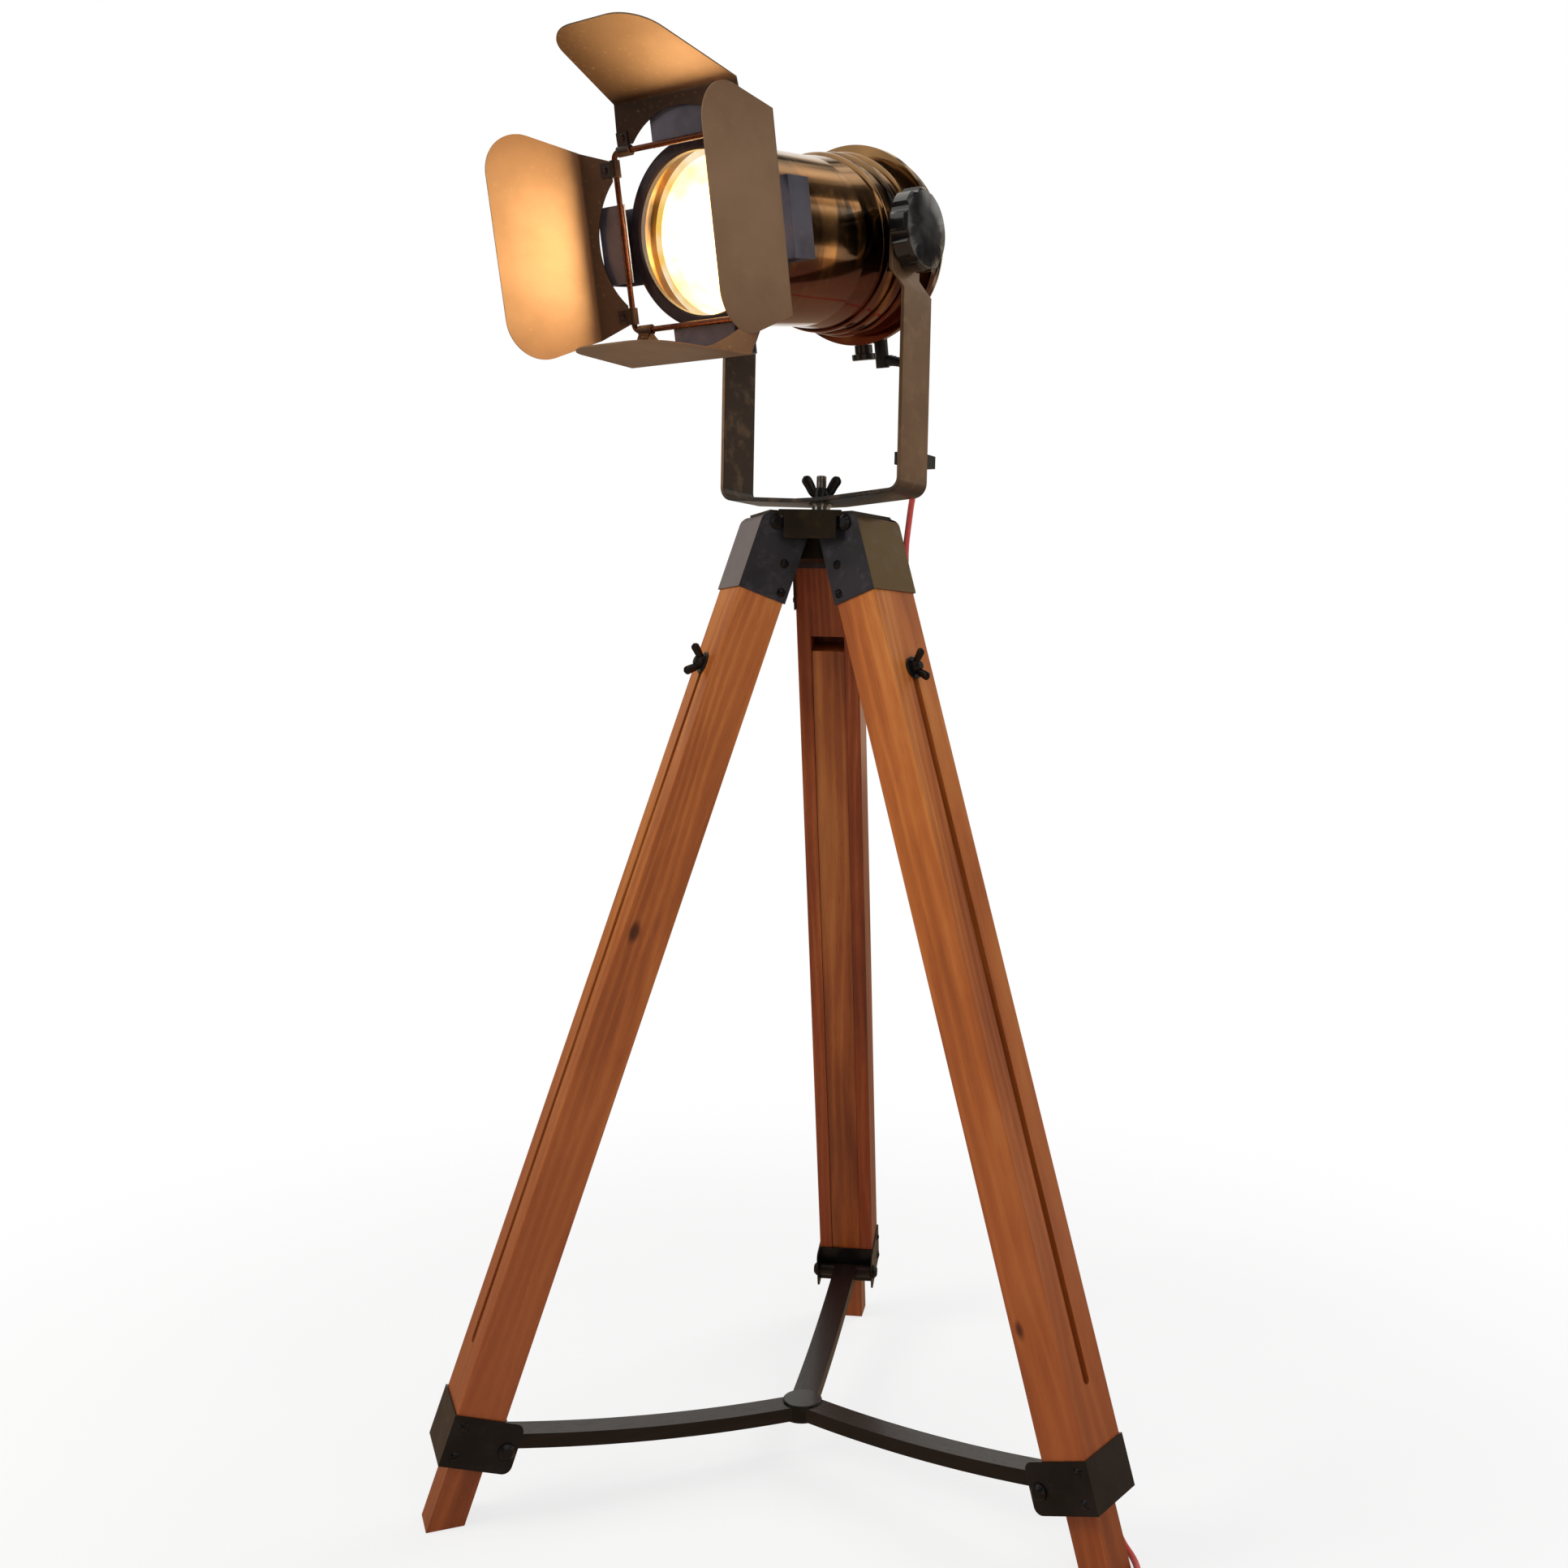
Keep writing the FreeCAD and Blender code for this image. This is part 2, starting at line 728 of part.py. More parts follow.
def outer_leg(index):
    """Outer leg: a wooden post with a channel for the inner leg and a slot for its clamp."""
    length = d.leg_length - d.leg_head_gap
    body = padded(f"leg_post_{index}", "XY",
                  [rectangle(-d.leg_depth, -HALF_WIDTH, 0, HALF_WIDTH)],
                  length, -(d.leg_length + d.leg_head_gap) / 2)
    rounded(body, f"leg_edges_{index}", 1.5,
            lambda middle, way: abs(way.z) > 0.9)
    channel_half = d.runner_width / 2 + d.slide_gap
    web = d.leg_depth - d.runner_depth - 1
    pocketed(body, f"leg_channel_{index}", "YZ",
             [rectangle(-channel_half, -d.leg_length - 5, channel_half, -d.channel_top)],
             (d.leg_depth - web) * 2, -d.leg_depth)
    slot_half = d.slot_width / 2
    slot = [(slot_half, -d.slot_end), (slot_half, -d.slot_top, slot_half),
            (-slot_half, -d.slot_top), (-slot_half, -d.slot_end, slot_half)]
    pocketed(body, f"leg_slot_{index}", "YZ", [slot], web * 2 + 4, 0)
    return put(body, at_leg(index))


def inner_leg(index):
    """Inner leg: runs in the channel and stands on the floor, cut parallel to it."""
    front = -(d.leg_depth - d.runner_depth - 1 + d.slide_gap)
    back = front - d.runner_depth + 0.5
    top = -(d.channel_top + 16)

    def at_floor(x):
        return -(d.hinge_height + x * sine(d.splay)) / cosine(d.splay)

    outline = [(back, at_floor(back)), (front, at_floor(front)), (front, top), (back, top)]
    body = padded(f"runner_{index}", "XZ", [outline], d.runner_width)
    put(body, at_leg(index))
    hole = rod(f"runner_hole_{index}", CLAMP_RADIUS + d.slide_gap, 27, (0, 0, 0))
    put(hole, in_leg(index, (front + 1, 0, -d.clamp_place), ("y", -90)))
    return keep(cut(f"runner_bored_{index}", body, hole), f"inner_leg_{LEGS[index]}")


def leg_cap(index):
    """Steel cap: outer face, two cheeks that carry the hinge bolt, and a strap inside."""
    inside = -(d.leg_depth + d.sheet_steel)
    outline = [(inside, -PLATE_FACE), (d.sheet_steel, -PLATE_FACE), (d.sheet_steel, PLATE_FACE),
               (inside, PLATE_FACE), (inside, HALF_WIDTH), (0, HALF_WIDTH), (0, -HALF_WIDTH),
               (inside, -HALF_WIDTH)]
    body = padded(f"cap_cheeks_{index}", "XY", [outline], d.cap_height + d.cap_rise,
                  (d.cap_rise - d.cap_height) / 2)
    strap_middle = -12 - d.cap_strap / 2
    more_pad(body, f"cap_strap_{index}", "XY",
             [rectangle(inside, -PLATE_FACE, -d.leg_depth, PLATE_FACE)], d.cap_strap, strap_middle)
    corner = 12
    rim = d.cap_rise
    curve = [(d.sheet_steel - corner, rim, -corner), (d.sheet_steel, rim - corner),
             (d.sheet_steel + 2, rim - corner), (d.sheet_steel + 2, rim + 2),
             (d.sheet_steel - corner, rim + 2)]
    pocketed(body, f"cap_round_{index}", "XZ", [curve], PLATE_FACE * 2 + 4)
    return put(body, at_leg(index))


def foot_collar(index):
    """Steel band round the lower end of the outer leg, with ears for the brace."""
    inside = -(d.leg_depth + d.sheet_steel)
    middle = -d.leg_length + d.collar_height / 2
    rim = rectangle(inside, -PLATE_FACE, d.sheet_steel, PLATE_FACE)
    opening = rectangle(-d.leg_depth, -HALF_WIDTH, 0, HALF_WIDTH)
    body = padded(f"collar_band_{index}", "XY", [rim, opening], d.collar_height, middle)
    ears = [rectangle(inside - d.collar_ear, side * PLATE_FACE - d.sheet_steel * (side > 0),
                      inside + 1, side * PLATE_FACE + d.sheet_steel * (side < 0))
            for side in (-1, 1)]
    more_pad(body, f"collar_ears_{index}", "XY", ears, d.collar_height, middle)
    ear_end = (inside - d.collar_ear).value
    rounded(body, f"collar_round_{index}", 8,
            lambda point, way: abs(way.y) > 0.9 and abs(point.x - ear_end) < 0.1)
    return put(body, at_leg(index))


def brace_arm(index):
    """Bowed bar with a sleeve on the foot bolt, ending at the round centre piece."""
    half = d.brace_thick / 2
    inner = 14
    outer = BRACE_REACH
    low = BRACE_RISE - d.brace_drop
    span = outer - inner
    bend = span * span / (d.brace_sag * 8)
    outline = [(inner, low - half, bend), (outer, BRACE_RISE - half), (outer, BRACE_RISE + half, -bend),
               (inner, low + half)]
    bar = put(padded(f"brace_bar_{index}", "XZ", [outline], d.brace_width), at_turn(index))
    sleeve_length = d.leg_width - 2
    sleeve = rod(f"brace_sleeve_{index}", half, sleeve_length, (0, 0, 0))
    put(sleeve, at_turn(index) + " * " + place((outer, sleeve_length / 2, BRACE_RISE), ("x", 90)))
    hole = rod(f"brace_hole_{index}", d.brace_bolt_radius + 0.1, d.leg_width, (0, 0, 0))
    put(hole, at_turn(index) + " * " + place((outer, d.leg_width / 2, BRACE_RISE), ("x", 90)))
    middle = rod(f"brace_middle_{index}", BRACE_HUB_RADIUS, 60, (0, 0, low - 30))
    whole = joined(f"brace_whole_{index}", [bar, sleeve])
    return keep(cut(f"brace_cut_{index}", whole, hole, middle), f"brace_arm_{LEGS[index]}")


def leg_clamp(index):
    """Winged bolt through the slot into the inner leg, with its washer."""
    nut = wing_nut(f"clamp_wings_{index}", 5.5, 10, 16.5, 17, 4, None)
    shank = rod(f"clamp_shank_{index}", CLAMP_RADIUS, CLAMP_DEPTH + 2, (0, 0, -CLAMP_DEPTH))
    winged = joined(f"clamp_bolt_{index}", [nut, shank])
    seat = d.running_gap
    put(winged, in_leg(index, (seat + CLAMP_WASHER_THICK, 0, -d.clamp_place), ("y", 90)))
    washer = rod(f"clamp_washer_{index}", 11, CLAMP_WASHER_THICK, (0, 0, 0), bore=CLAMP_RADIUS + 0.1)
    put(washer, in_leg(index, (seat, 0, -d.clamp_place), ("y", 90)))
    keep(grouped(f"clamp_{index}", [winged, washer]), f"leg_clamp_{LEGS[index]}")


hinge_bolts = []
cap_screws = []
collar_screws = []
brace_bolts = []
for leg in range(3):
    hinge = cross_bolt(f"hinge_bolt_{leg}", leg, -d.hinge_inset, HINGE_HEIGHT_IN_LEG,
                       d.hinge_bolt_radius, HINGE_HEAD_RADIUS, BOLT_HEAD_HEIGHT)
    upper = wood_screws(f"cap_screw_{leg}", leg, CAP_SCREWS)
    lower = wood_screws(f"collar_screw_{leg}", leg, COLLAR_SCREWS)
    foot = cross_bolt(f"brace_bolt_{leg}", leg, BRACE_BOLT_X, BRACE_BOLT_Z,
                      d.brace_bolt_radius, 8, BOLT_HEAD_HEIGHT)
    post = cut(f"leg_bored_{leg}", outer_leg(leg), *upper, *lower)
    keep(post, f"outer_leg_{LEGS[leg]}")
    keep(cut(f"cap_bored_{leg}", leg_cap(leg), *upper, hinge[0]), f"leg_cap_{LEGS[leg]}")
    keep(cut(f"collar_bored_{leg}", foot_collar(leg), *lower, foot[0]), f"foot_collar_{LEGS[leg]}")
    brace_arm(leg)
    inner_leg(leg)
    leg_clamp(leg)
    hinge_bolts += hinge
    cap_screws += upper
    collar_screws += lower
    brace_bolts += foot
keep(grouped("hinge_bolt_set", hinge_bolts), "hinge_bolts")
keep(grouped("cap_screw_set", cap_screws), "cap_screws")
keep(grouped("collar_screw_set", collar_screws), "collar_screws")
keep(grouped("brace_bolt_set", brace_bolts), "brace_bolts")

hub_bottom = BRACE_RISE - d.brace_drop - BRACE_HUB_HEIGHT / 2
keep(rod("brace_hub", BRACE_HUB_RADIUS, BRACE_HUB_HEIGHT, (0, 0, hub_bottom)), "brace_centre")


# ---- hub, pan stud and yoke ---------------------------------------------------------------------

STUD_DEPTH = 33.0               # depth of the stud in the hub
PAN_WASHER_RADIUS = 12.0
PAN_WASHER_THICK = 2.0
STUD_ABOVE = 28.0               # stud above the underside of the yoke


def hub():
    """Six-sided plate with a boss, a tongue in each cap and a skirt between the caps."""
    corner = d.hub_reach / cosine(Size(30, "30"))
    turns = [math.radians(60 * k + 30) for k in range(6)]
    hexagon = [(corner * math.cos(turn), corner * math.sin(turn)) for turn in turns]
    lift = d.hub_top - d.hub_plate_thick / 2
    plate = put(padded("hub_plate", "XY", [hexagon], d.hub_plate_thick, lift), at_turn(0))
    boss = rod("hub_boss", d.hub_boss_radius, d.hub_boss_length + 2,
               (0, 0, d.hub_top - d.hub_plate_thick - d.hub_boss_length))
    solids = [plate, boss]
    pins = []
    tongue_half = 9
    for index in range(3):
        outline = [(12, HINGE_RISE - tongue_half), (HINGE_REACH, HINGE_RISE - tongue_half, tongue_half),
                   (HINGE_REACH, HINGE_RISE + tongue_half), (12, HINGE_RISE + tongue_half)]
        tongue = padded(f"hub_tongue_{index}", "XZ", [outline], d.leg_width - 6)
        solids.append(put(tongue, at_turn(index)))
        skirt_top = d.hub_top - 2
        skirt = block(f"hub_skirt_{index}",
                      (d.hub_reach - 3, -d.skirt_width / 2, skirt_top - d.skirt_drop - 4),
                      (d.hub_reach, d.skirt_width / 2, skirt_top))
        put(skirt, at_turn(index) + " * " + place((0, 0, 0), ("z", 60)) + " * "
            + place((d.hub_reach - 3, -d.skirt_width / 2, skirt_top - d.skirt_drop - 4)))
        solids.append(skirt)
        pins.append(hinge_bolts[2 * index])
    stud_hole = rod("hub_bore", d.stud_radius, 60, (0, 0, d.hub_top - STUD_DEPTH))
    reliefs = []
    relief_low = d.leg_width / 2 - 1.5
    relief_high = PLATE_FACE + BOLT_HEAD_HEIGHT + 0.8
    for index in range(3):
        for side, start in (("a", relief_low), ("b", -relief_high)):
            relief = block(f"hub_relief_{side}_{index}", (0, 0, 0), (60, relief_high - relief_low, 40))
            put(relief, at_turn(index) + " * " + place((44, start, d.hub_top - 33)))
            reliefs.append(relief)
    return keep(cut("hub_bored", joined("hub_whole", solids), stud_hole, *pins, *reliefs), "hub")


def pan_stud():
    """Stud that stands in the hub, with the collar under the yoke."""
    bottom = d.hub_top - STUD_DEPTH
    collar_top = d.yoke_under - PAN_WASHER_THICK
    top = d.yoke_under + STUD_ABOVE
    profile = [(0, bottom), (d.stud_radius, bottom), (d.stud_radius, d.hub_top),
               (d.stud_collar_radius, d.hub_top), (d.stud_collar_radius, collar_top),
               (d.stud_radius, collar_top), (d.stud_radius, top), (0, top)]
    return keep(revolved("stud", [profile], "XZ"), "pan_stud")


def yoke():
    """Bent strap: a bowed base on the stud, two arms and their narrower ends at the tilt axis."""
    thick = d.strap_thick
    under = d.yoke_under
    corner = under + d.yoke_bow
    outer = d.yoke_half + thick / 2
    neck = d.yoke_neck_half + thick / 2
    top = d.pivot_height + d.yoke_width / 2
    low_bend = d.pivot_height - 58
    high_bend = d.pivot_height - 40
    flat_half = 14
    shift = 1.3
    right = [(flat_half, under), (outer, corner), (outer, low_bend), (neck, high_bend), (neck, top),
             (neck - thick, top), (neck - thick, high_bend + shift), (outer - thick, low_bend + shift),
             (outer - thick, corner + thick), (flat_half, under + thick)]
    left = [(-x, z) for x, z in right]
    body = padded("yoke_strap", "XZ", [right + left[::-1]], d.yoke_width)
    base_edge = (corner + 12).value

    def at_corner(outside):
        wanted = outer.value if outside else (outer - thick).value
        return lambda point, way: (abs(way.y) > 0.9 and point.z < base_edge
                                   and abs(abs(point.x) - wanted) < 0.1)

    rounded(body, "yoke_outer_bends", 14, at_corner(True))
    rounded(body, "yoke_inner_bends", 10, at_corner(False))
    high = top.value
    rounded(body, "yoke_ends", d.yoke_width / 2 - 1,
            lambda point, way: abs(way.x) > 0.9 and abs(point.z - high) < 0.1)
    bore = d.stud_radius + d.running_gap
    pocketed(body, "yoke_stud_hole", "XY", [round_outline(0, 0, bore)], 20, under)
    pocketed(body, "yoke_tilt_holes", "YZ", [round_outline(0, d.pivot_height, bore)], d.yoke_half * 3)
    return keep(body, "yoke")


hub()
pan_stud()
washer_foot = (0, 0, d.yoke_under - PAN_WASHER_THICK)
keep(rod("pan_washer_ring", PAN_WASHER_RADIUS, PAN_WASHER_THICK, washer_foot, bore=d.stud_radius),
     "pan_washer")
yoke()
pan_nut = wing_nut("pan_nut", 9, 12, 20, 25, 5, d.stud_radius + d.running_gap)
put(pan_nut, place((0, 0, d.yoke_under + d.strap_thick + d.running_gap), ("z", 30)))
keep(pan_nut, "pan_wing_nut")


# ---- head ---------------------------------------------------------------------------------------
# Outlines of turned pieces are pairs of a radius and a place behind the tilt axis.

FLARE_START = -50.0
BEADS = (-18.0, 4.0, 24.0)


def barrel_line(inset):
    """Profile of the barrel from front to rear, moved inwards by inset, with its rolled beads."""
    slope = d.barrel_flare / (d.barrel_rear - FLARE_START)

    def radius_at(y):
        return d.barrel_radius - inset + slope * (sized(y) - FLARE_START)

    half = d.rib_width / 2
    bead = (half * half + d.rib_rise * d.rib_rise) / (d.rib_rise * 2)
    points = [(d.barrel_radius - inset, -d.barrel_front), (d.barrel_radius - inset, FLARE_START)]
    for place_of_bead in BEADS:
        points.append((radius_at(place_of_bead - half), place_of_bead - half, bead))
        points.append((radius_at(place_of_bead + half), place_of_bead + half))
    points.append((radius_at(d.barrel_rear), d.barrel_rear))
    return points


def backwards(points):
    """The same line followed the other way round, with its arcs turned over."""
    result = []
    for index, point in enumerate(points[::-1]):
        earlier = len(points) - 2 - index
        arc = points[earlier][2] if earlier >= 0 and len(points[earlier]) > 2 else None
        result.append((point[0], point[1]) if arc is None else (point[0], point[1], -arc))
    return result


def head_turned(name, outline):
    """Turned piece of the head."""
    return put(revolved(name, [outline]), at_head())


def barrel_mould(name):
    """Everything inside the barrel's outer surface."""
    line = barrel_line(0)
    return head_turned(name, line + [(0, d.barrel_rear), (0, -d.barrel_front)])


def rear_cap():
    """Domed rear cap with a rolled rim and a flange against the barrel."""
    rim = d.cap_radius
    face = d.barrel_rear
    thick = d.shell_thick
    side = rim - 2
    corner = 44
    crown = 127
    knee = (side * 0.806, face + d.cap_depth * 0.645 + 4.5)
    inner_knee = (knee[0] - thick * 0.6, knee[1] - thick * 0.8)
    tip = face + d.cap_depth + 7
    outline = [(rim - 15, face), (rim, face), (rim, face + 7), (side, face + 9, corner),
               (knee[0], knee[1], crown), (2, tip), (0, tip), (0, tip - thick),
               (2, tip - thick, thick - crown),
               (inner_knee[0], inner_knee[1], thick - corner), (side - thick, face + 9),
               (side - thick, face + thick), (rim - 15, face + thick)]
    return head_turned("cap_dome", outline)


def front_ring():
    """Deep ring on the barrel's front end, with a narrower opening."""
    rim = d.ring_radius
    front = -d.ring_front
    fit = d.barrel_radius
    edge = 3
    step = -d.barrel_front - 4
    chamfer = 1.5
    outline = [(fit, front + d.ring_depth), (fit, step), (d.ring_opening, step),
               (d.ring_opening, front + chamfer), (d.ring_opening + chamfer, front),
               (rim - edge, front, edge), (rim, front + edge), (rim, front + d.ring_depth)]
    return head_turned("ring_turned", outline)


def reflector():
    """Bowl mirror round the bulb, with a flange against the inside of the barrel."""
    thick = 1.2
    bowl = 190
    front = -165
    rear = front + d.mirror_depth + 15
    fit = d.barrel_radius - d.shell_thick
    outline = [(20, rear, -bowl), (70, front), (fit, front), (fit, front - thick),
               (69, front - thick, bowl - thick), (18.9, rear - 0.4)]
    return head_turned("mirror_turned", outline)


def frame_clip(number, ring):
    """Folded clip that stands on the front ring and holds one side of the wire frame."""
    thick = 2
    reach = d.clip_reach
    rear = -178
    lip = rear - d.clip_depth + 1.5
    edge = d.wire_half - 2
    outline = [(70, rear), (70, rear - thick), (reach - thick, rear - thick),
               (reach - thick, lip + thick), (edge, lip + thick), (edge, lip), (reach, lip),
               (reach, rear)]
    turned = [(y, r) for r, y in outline]
    body = padded(f"clip_fold_{number}", "YZ", [turned], d.clip_width)
    put(body, in_head((0, 0, 0), ("y", 90 * number)))
    return cut(f"clip_seated_{number}", body, ring)


def wire_frame():
    """Square of round wire with rounded corners."""
    half = d.wire_half
    pieces = []
    for number in range(4):
        side = rod(f"wire_side_{number}", d.wire_radius, half * 2, (0, 0, 0))
        put(side, in_head((0, 0, 0), ("y", 90 * number)) + " * "
            + place((-half, -d.wire_place, half), ("y", 90)))
        ball = doc.addObject("Part::Sphere", f"wire_corner_{number}")
        bind(ball, "Radius", d.wire_radius)
        put(ball, in_head((0, 0, 0), ("y", 90 * number)) + " * " + place((half, -d.wire_place, half)))
        pieces += [side, ball]
    return keep(joined("wire_square", pieces), "wire_frame")


LATCH_RADIUS = 2.5
cap_piece = rear_cap()
latch_y = d.barrel_rear + 4.4
latch_hole = rod("latch_hole", LATCH_RADIUS + d.running_gap, 14, (0, 0, 0))
put(latch_hole, in_head((0, latch_y, -98)))
rear_piece = keep(cut("cap_dome_bored", cap_piece, latch_hole), "rear_cap")
barrel = head_turned("barrel_shell", barrel_line(0) + backwards(barrel_line(d.shell_thick)))
keep(barrel, "barrel")
keep(front_ring(), "front_ring")
keep(reflector(), "reflector")

# Lamp base of the common screw size, in its holder on a disc that fits inside the barrel's rear end.

CARRIER_RADIUS = 83.4
HOLDER_REAR = 30.0
BASE_FRONT = -24.0
BASE_RADIUS = 13.3
BULB_CENTRE = -92.0
BULB_NECK = 19.0
disc = HOLDER_REAR + 12
keep(head_turned("carrier_disc", [(0, HOLDER_REAR), (12, HOLDER_REAR), (12, disc), (CARRIER_RADIUS, disc),
                                  (CARRIER_RADIUS, disc + 2), (0, disc + 2)]), "lamp_carrier")
socket = BASE_RADIUS + 0.4
keep(head_turned("holder_cup", [(0, HOLDER_REAR), (0, 5), (socket, 5), (socket, BASE_FRONT - 1),
                                (20, BASE_FRONT - 1), (20, HOLDER_REAR)]), "lampholder")
keep(head_turned("bulb_screw", [(0, 2), (0, BASE_FRONT), (BASE_RADIUS, BASE_FRONT), (BASE_RADIUS, 2)]),
     "bulb_base")
stem = BASE_RADIUS - 0.7
shoulder = BULB_CENTRE + math.sqrt(d.bulb_radius.value ** 2 - BULB_NECK ** 2)
keep(head_turned("bulb_envelope", [(0, BASE_FRONT), (stem, BASE_FRONT), (stem, BASE_FRONT - 8),
                                   (BULB_NECK, shoulder, -d.bulb_radius),
                                   (0, BULB_CENTRE - d.bulb_radius)]), "bulb_glass")

ring_seat = put(rod("ring_seat", d.ring_radius, 40, (0, 0, 0)), in_head((0, -200, 0), ("x", -90)))
keep(grouped("clip_set", [frame_clip(number, ring_seat) for number in range(4)]), "frame_clips")
wire_frame()

BOSS_START = 70.0               # a boss is cut back from here to the barrel's surface
pivot_face = d.yoke_neck_half - d.strap_thick / 2 - d.running_gap
inside_barrel = barrel_mould("boss_seat")
bosses = []
tilt_bolts = []
for side, turn in ((1, 90), (-1, -90)):
    letter = "rl"[side < 0]
    boss = rod(f"tilt_boss_{letter}", 16, pivot_face - BOSS_START, (0, 0, 0))
    put(boss, in_head((side * BOSS_START, 0, 0), ("y", turn)))
    tilt_bolt = rod(f"tilt_bolt_{letter}", d.stud_radius, 26, (0, 0, 0))
    put(tilt_bolt, in_head((side * 86, 0, 0), ("y", turn)))
    bosses.append(cut(f"boss_seated_{letter}", boss, inside_barrel, tilt_bolt))
    tilt_bolts.append(tilt_bolt)
keep(grouped("tilt_boss_set", bosses), "pivot_bosses")
keep(grouped("tilt_bolt_set", tilt_bolts), "pivot_bolts")


def tilt_knob(side, turn, name):
    """Scalloped hand knob on a tilt bolt."""
    seat = d.yoke_neck_half + d.strap_thick / 2 + d.running_gap
    thick = d.tilt_knob_thick
    rim = d.tilt_knob_radius
    bore = d.stud_radius + d.running_gap
    deep = 21
    outline = [(bore, 0), (13, 0), (13, 2), (rim - 2, 2), (rim, 4), (rim, thick - 3),
               (rim - 4, thick), (16, thick + 1.5), (0, thick + 1.5), (0, deep), (bore, deep)]
    body = revolved(name + "_turned", [outline], "XZ")
    notches = []
    for number in range(9):
        way = math.radians(40 * number)
        foot = ((rim + 4.5) * math.cos(way), (rim + 4.5) * math.sin(way), -1)
        notches.append(rod(f"{name}_notch_{number}", 8, thick + 6, foot))
    knob = cut(name + "_scalloped", body, *notches)
    put(knob, in_head((side * seat, 0, 0), ("y", turn)))
    return keep(knob, name)


tilt_knob(1, 90, "tilt_knob_right")
tilt_knob(-1, -90, "tilt_knob_left")

cap_rim = d.cap_radius
screw_profile = [(0, 8), (LATCH_RADIUS, 8), (LATCH_RADIUS, 0), (9, 0), (9, -8), (12.5, -9),
                 (12.5, -14), (11.5, -15), (0, -15)]
latch_seat = in_head((0, latch_y, -cap_rim - d.running_gap))
keep(put(revolved("latch_screw", [screw_profile], "XZ"), latch_seat), "thumb_screw")

gland_y, gland_bottom = GLAND_PLACE
gland_block = put(rod("gland_body", 7, 40, (0, 0, 0)), in_head((0, gland_y, gland_bottom)))
dome_inside = head_turned("gland_seat", [(0, 47), (93, 47), (93, 56, 44),
                                         (d.cap_radius * 0.789, 91.5, 127), (0, 116)])


# ---- shutter leaves -----------------------------------------------------------------------------

LUG_PLACE = 62.0
LUG_LENGTH = 14.0
LUG_THICK = 1.2


def leaf(number, name, fold_half, blade_length, blade_half, opened):
    """Folded leaf with a hollowed flange, and its lugs and rivets on the wire."""
    thick = d.leaf_thick
    hollow = 72
    foot = 4.6
    foot_half = math.sqrt(hollow ** 2 - (45 + foot) ** 2)
    foot_end = LUG_PLACE + LUG_LENGTH / 2
    outline = [(foot_half, foot), (foot_end, foot), (fold_half, d.flange_width),
               (-fold_half, d.flange_width), (-foot_end, foot), (-foot_half, foot, -hollow)]
    frame = (in_head((0, 0, 0), ("y", 90 * number)) + " * "
             + place((0, -d.wire_place, d.wire_half), ("x", opened)))
    flange = put(padded(f"{name}_flange", "XZ", [outline], thick), frame)
    blade_outline = [(-fold_half, 0), (fold_half, 0), (blade_half, blade_length),
                     (-blade_half, blade_length)]
    blade = padded(f"{name}_blade", "XZ", [blade_outline], thick)
    far = blade_length.value
    rounded(blade, f"{name}_corners", d.leaf_corner,
            lambda point, way: abs(way.y) > 0.9 and point.z > far - 1)
    put(blade, frame + " * " + place((0, 0, d.flange_width), ("x", d.fold_bend)))
    fold = put(rod(f"{name}_fold", thick / 2, fold_half * 2, (0, 0, 0)),
               frame + " * " + place((-fold_half, 0, d.flange_width), ("y", 90)))
    whole = joined(f"{name}_sheet", [flange, blade, fold])
    lugs = []
    rivets = []
    back = -thick / 2 - LUG_THICK
    for side in (-1, 1):
        letter = "ab"[side > 0]
        start = side * LUG_PLACE - LUG_LENGTH / 2
        sleeve = rod(f"{name}_sleeve_{letter}", 4.5, LUG_LENGTH, (start, 0, 0), ("y", 90))
        tab = block(f"{name}_tab_{letter}", (start + 1, back, 0), (start + LUG_LENGTH - 1, -thick / 2, 15))
        bore = rod(f"{name}_bore_{letter}", d.wire_radius + d.running_gap, LUG_LENGTH + 2,
                   (start - 1, 0, 0), ("y", 90))
        rivet = bolt(f"{name}_rivet_{letter}", 1.5, thick + LUG_THICK, 3.2, 1.4,
                     (side * LUG_PLACE, back, 10.5), ("x", -90))
        lug = cut(f"{name}_lug_{letter}", joined(f"{name}_lug_whole_{letter}", [sleeve, tab]), bore, rivet)
        lugs.append(lug)
        rivets.append(rivet)
    rivet_holes = joined(f"{name}_rivet_pair", rivets)
    put(rivet_holes, frame)
    keep(cut(f"{name}_drilled", whole, rivet_holes), name)
    fittings = put(grouped(f"{name}_fittings", lugs + rivets), frame)
    return keep(fittings, name.replace("leaf", "leaf_lugs"))


leaf(0, "leaf_top", d.end_fold_half, d.end_blade_length, d.end_blade_half, 3)
leaf(1, "leaf_right", d.side_fold_half, d.side_blade_length, d.side_blade_half, 27)
leaf(2, "leaf_bottom", d.end_fold_half, d.end_blade_length, d.end_blade_half, 33)
leaf(3, "leaf_left", d.side_fold_half, d.side_blade_length, d.side_blade_half, 5)


# ---- cord, its clips and its plug ---------------------------------------------------------------

upper_cord = cord_stretch("cord_head_yoke", head_yoke_route())
middle_cord = cord_stretch("cord_yoke_leg", yoke_leg_route())
leg_cord = cord_stretch("cord_leg", leg_floor_route())
coil_path = coil_wire()
print("cord_coil: least gap to itself", round(least_self_gap(coil_path, 2 * d.cord_radius.value), 2))
keep(tube_along("coil_tube", coil_path), "cord_coil")

keep(cut("gland_seated", gland_block, dome_inside, upper_cord), "cord_gland")

x, y, z = YOKE_CLIP_POINT
clip_block = block("yoke_clip", (x - 6, 6, z - 7), (d.yoke_half - d.strap_thick / 2, y + 6, z + 5))
keep(cut("yoke_clip_bored", clip_block, upper_cord, middle_cord), "yoke_cord_clip")

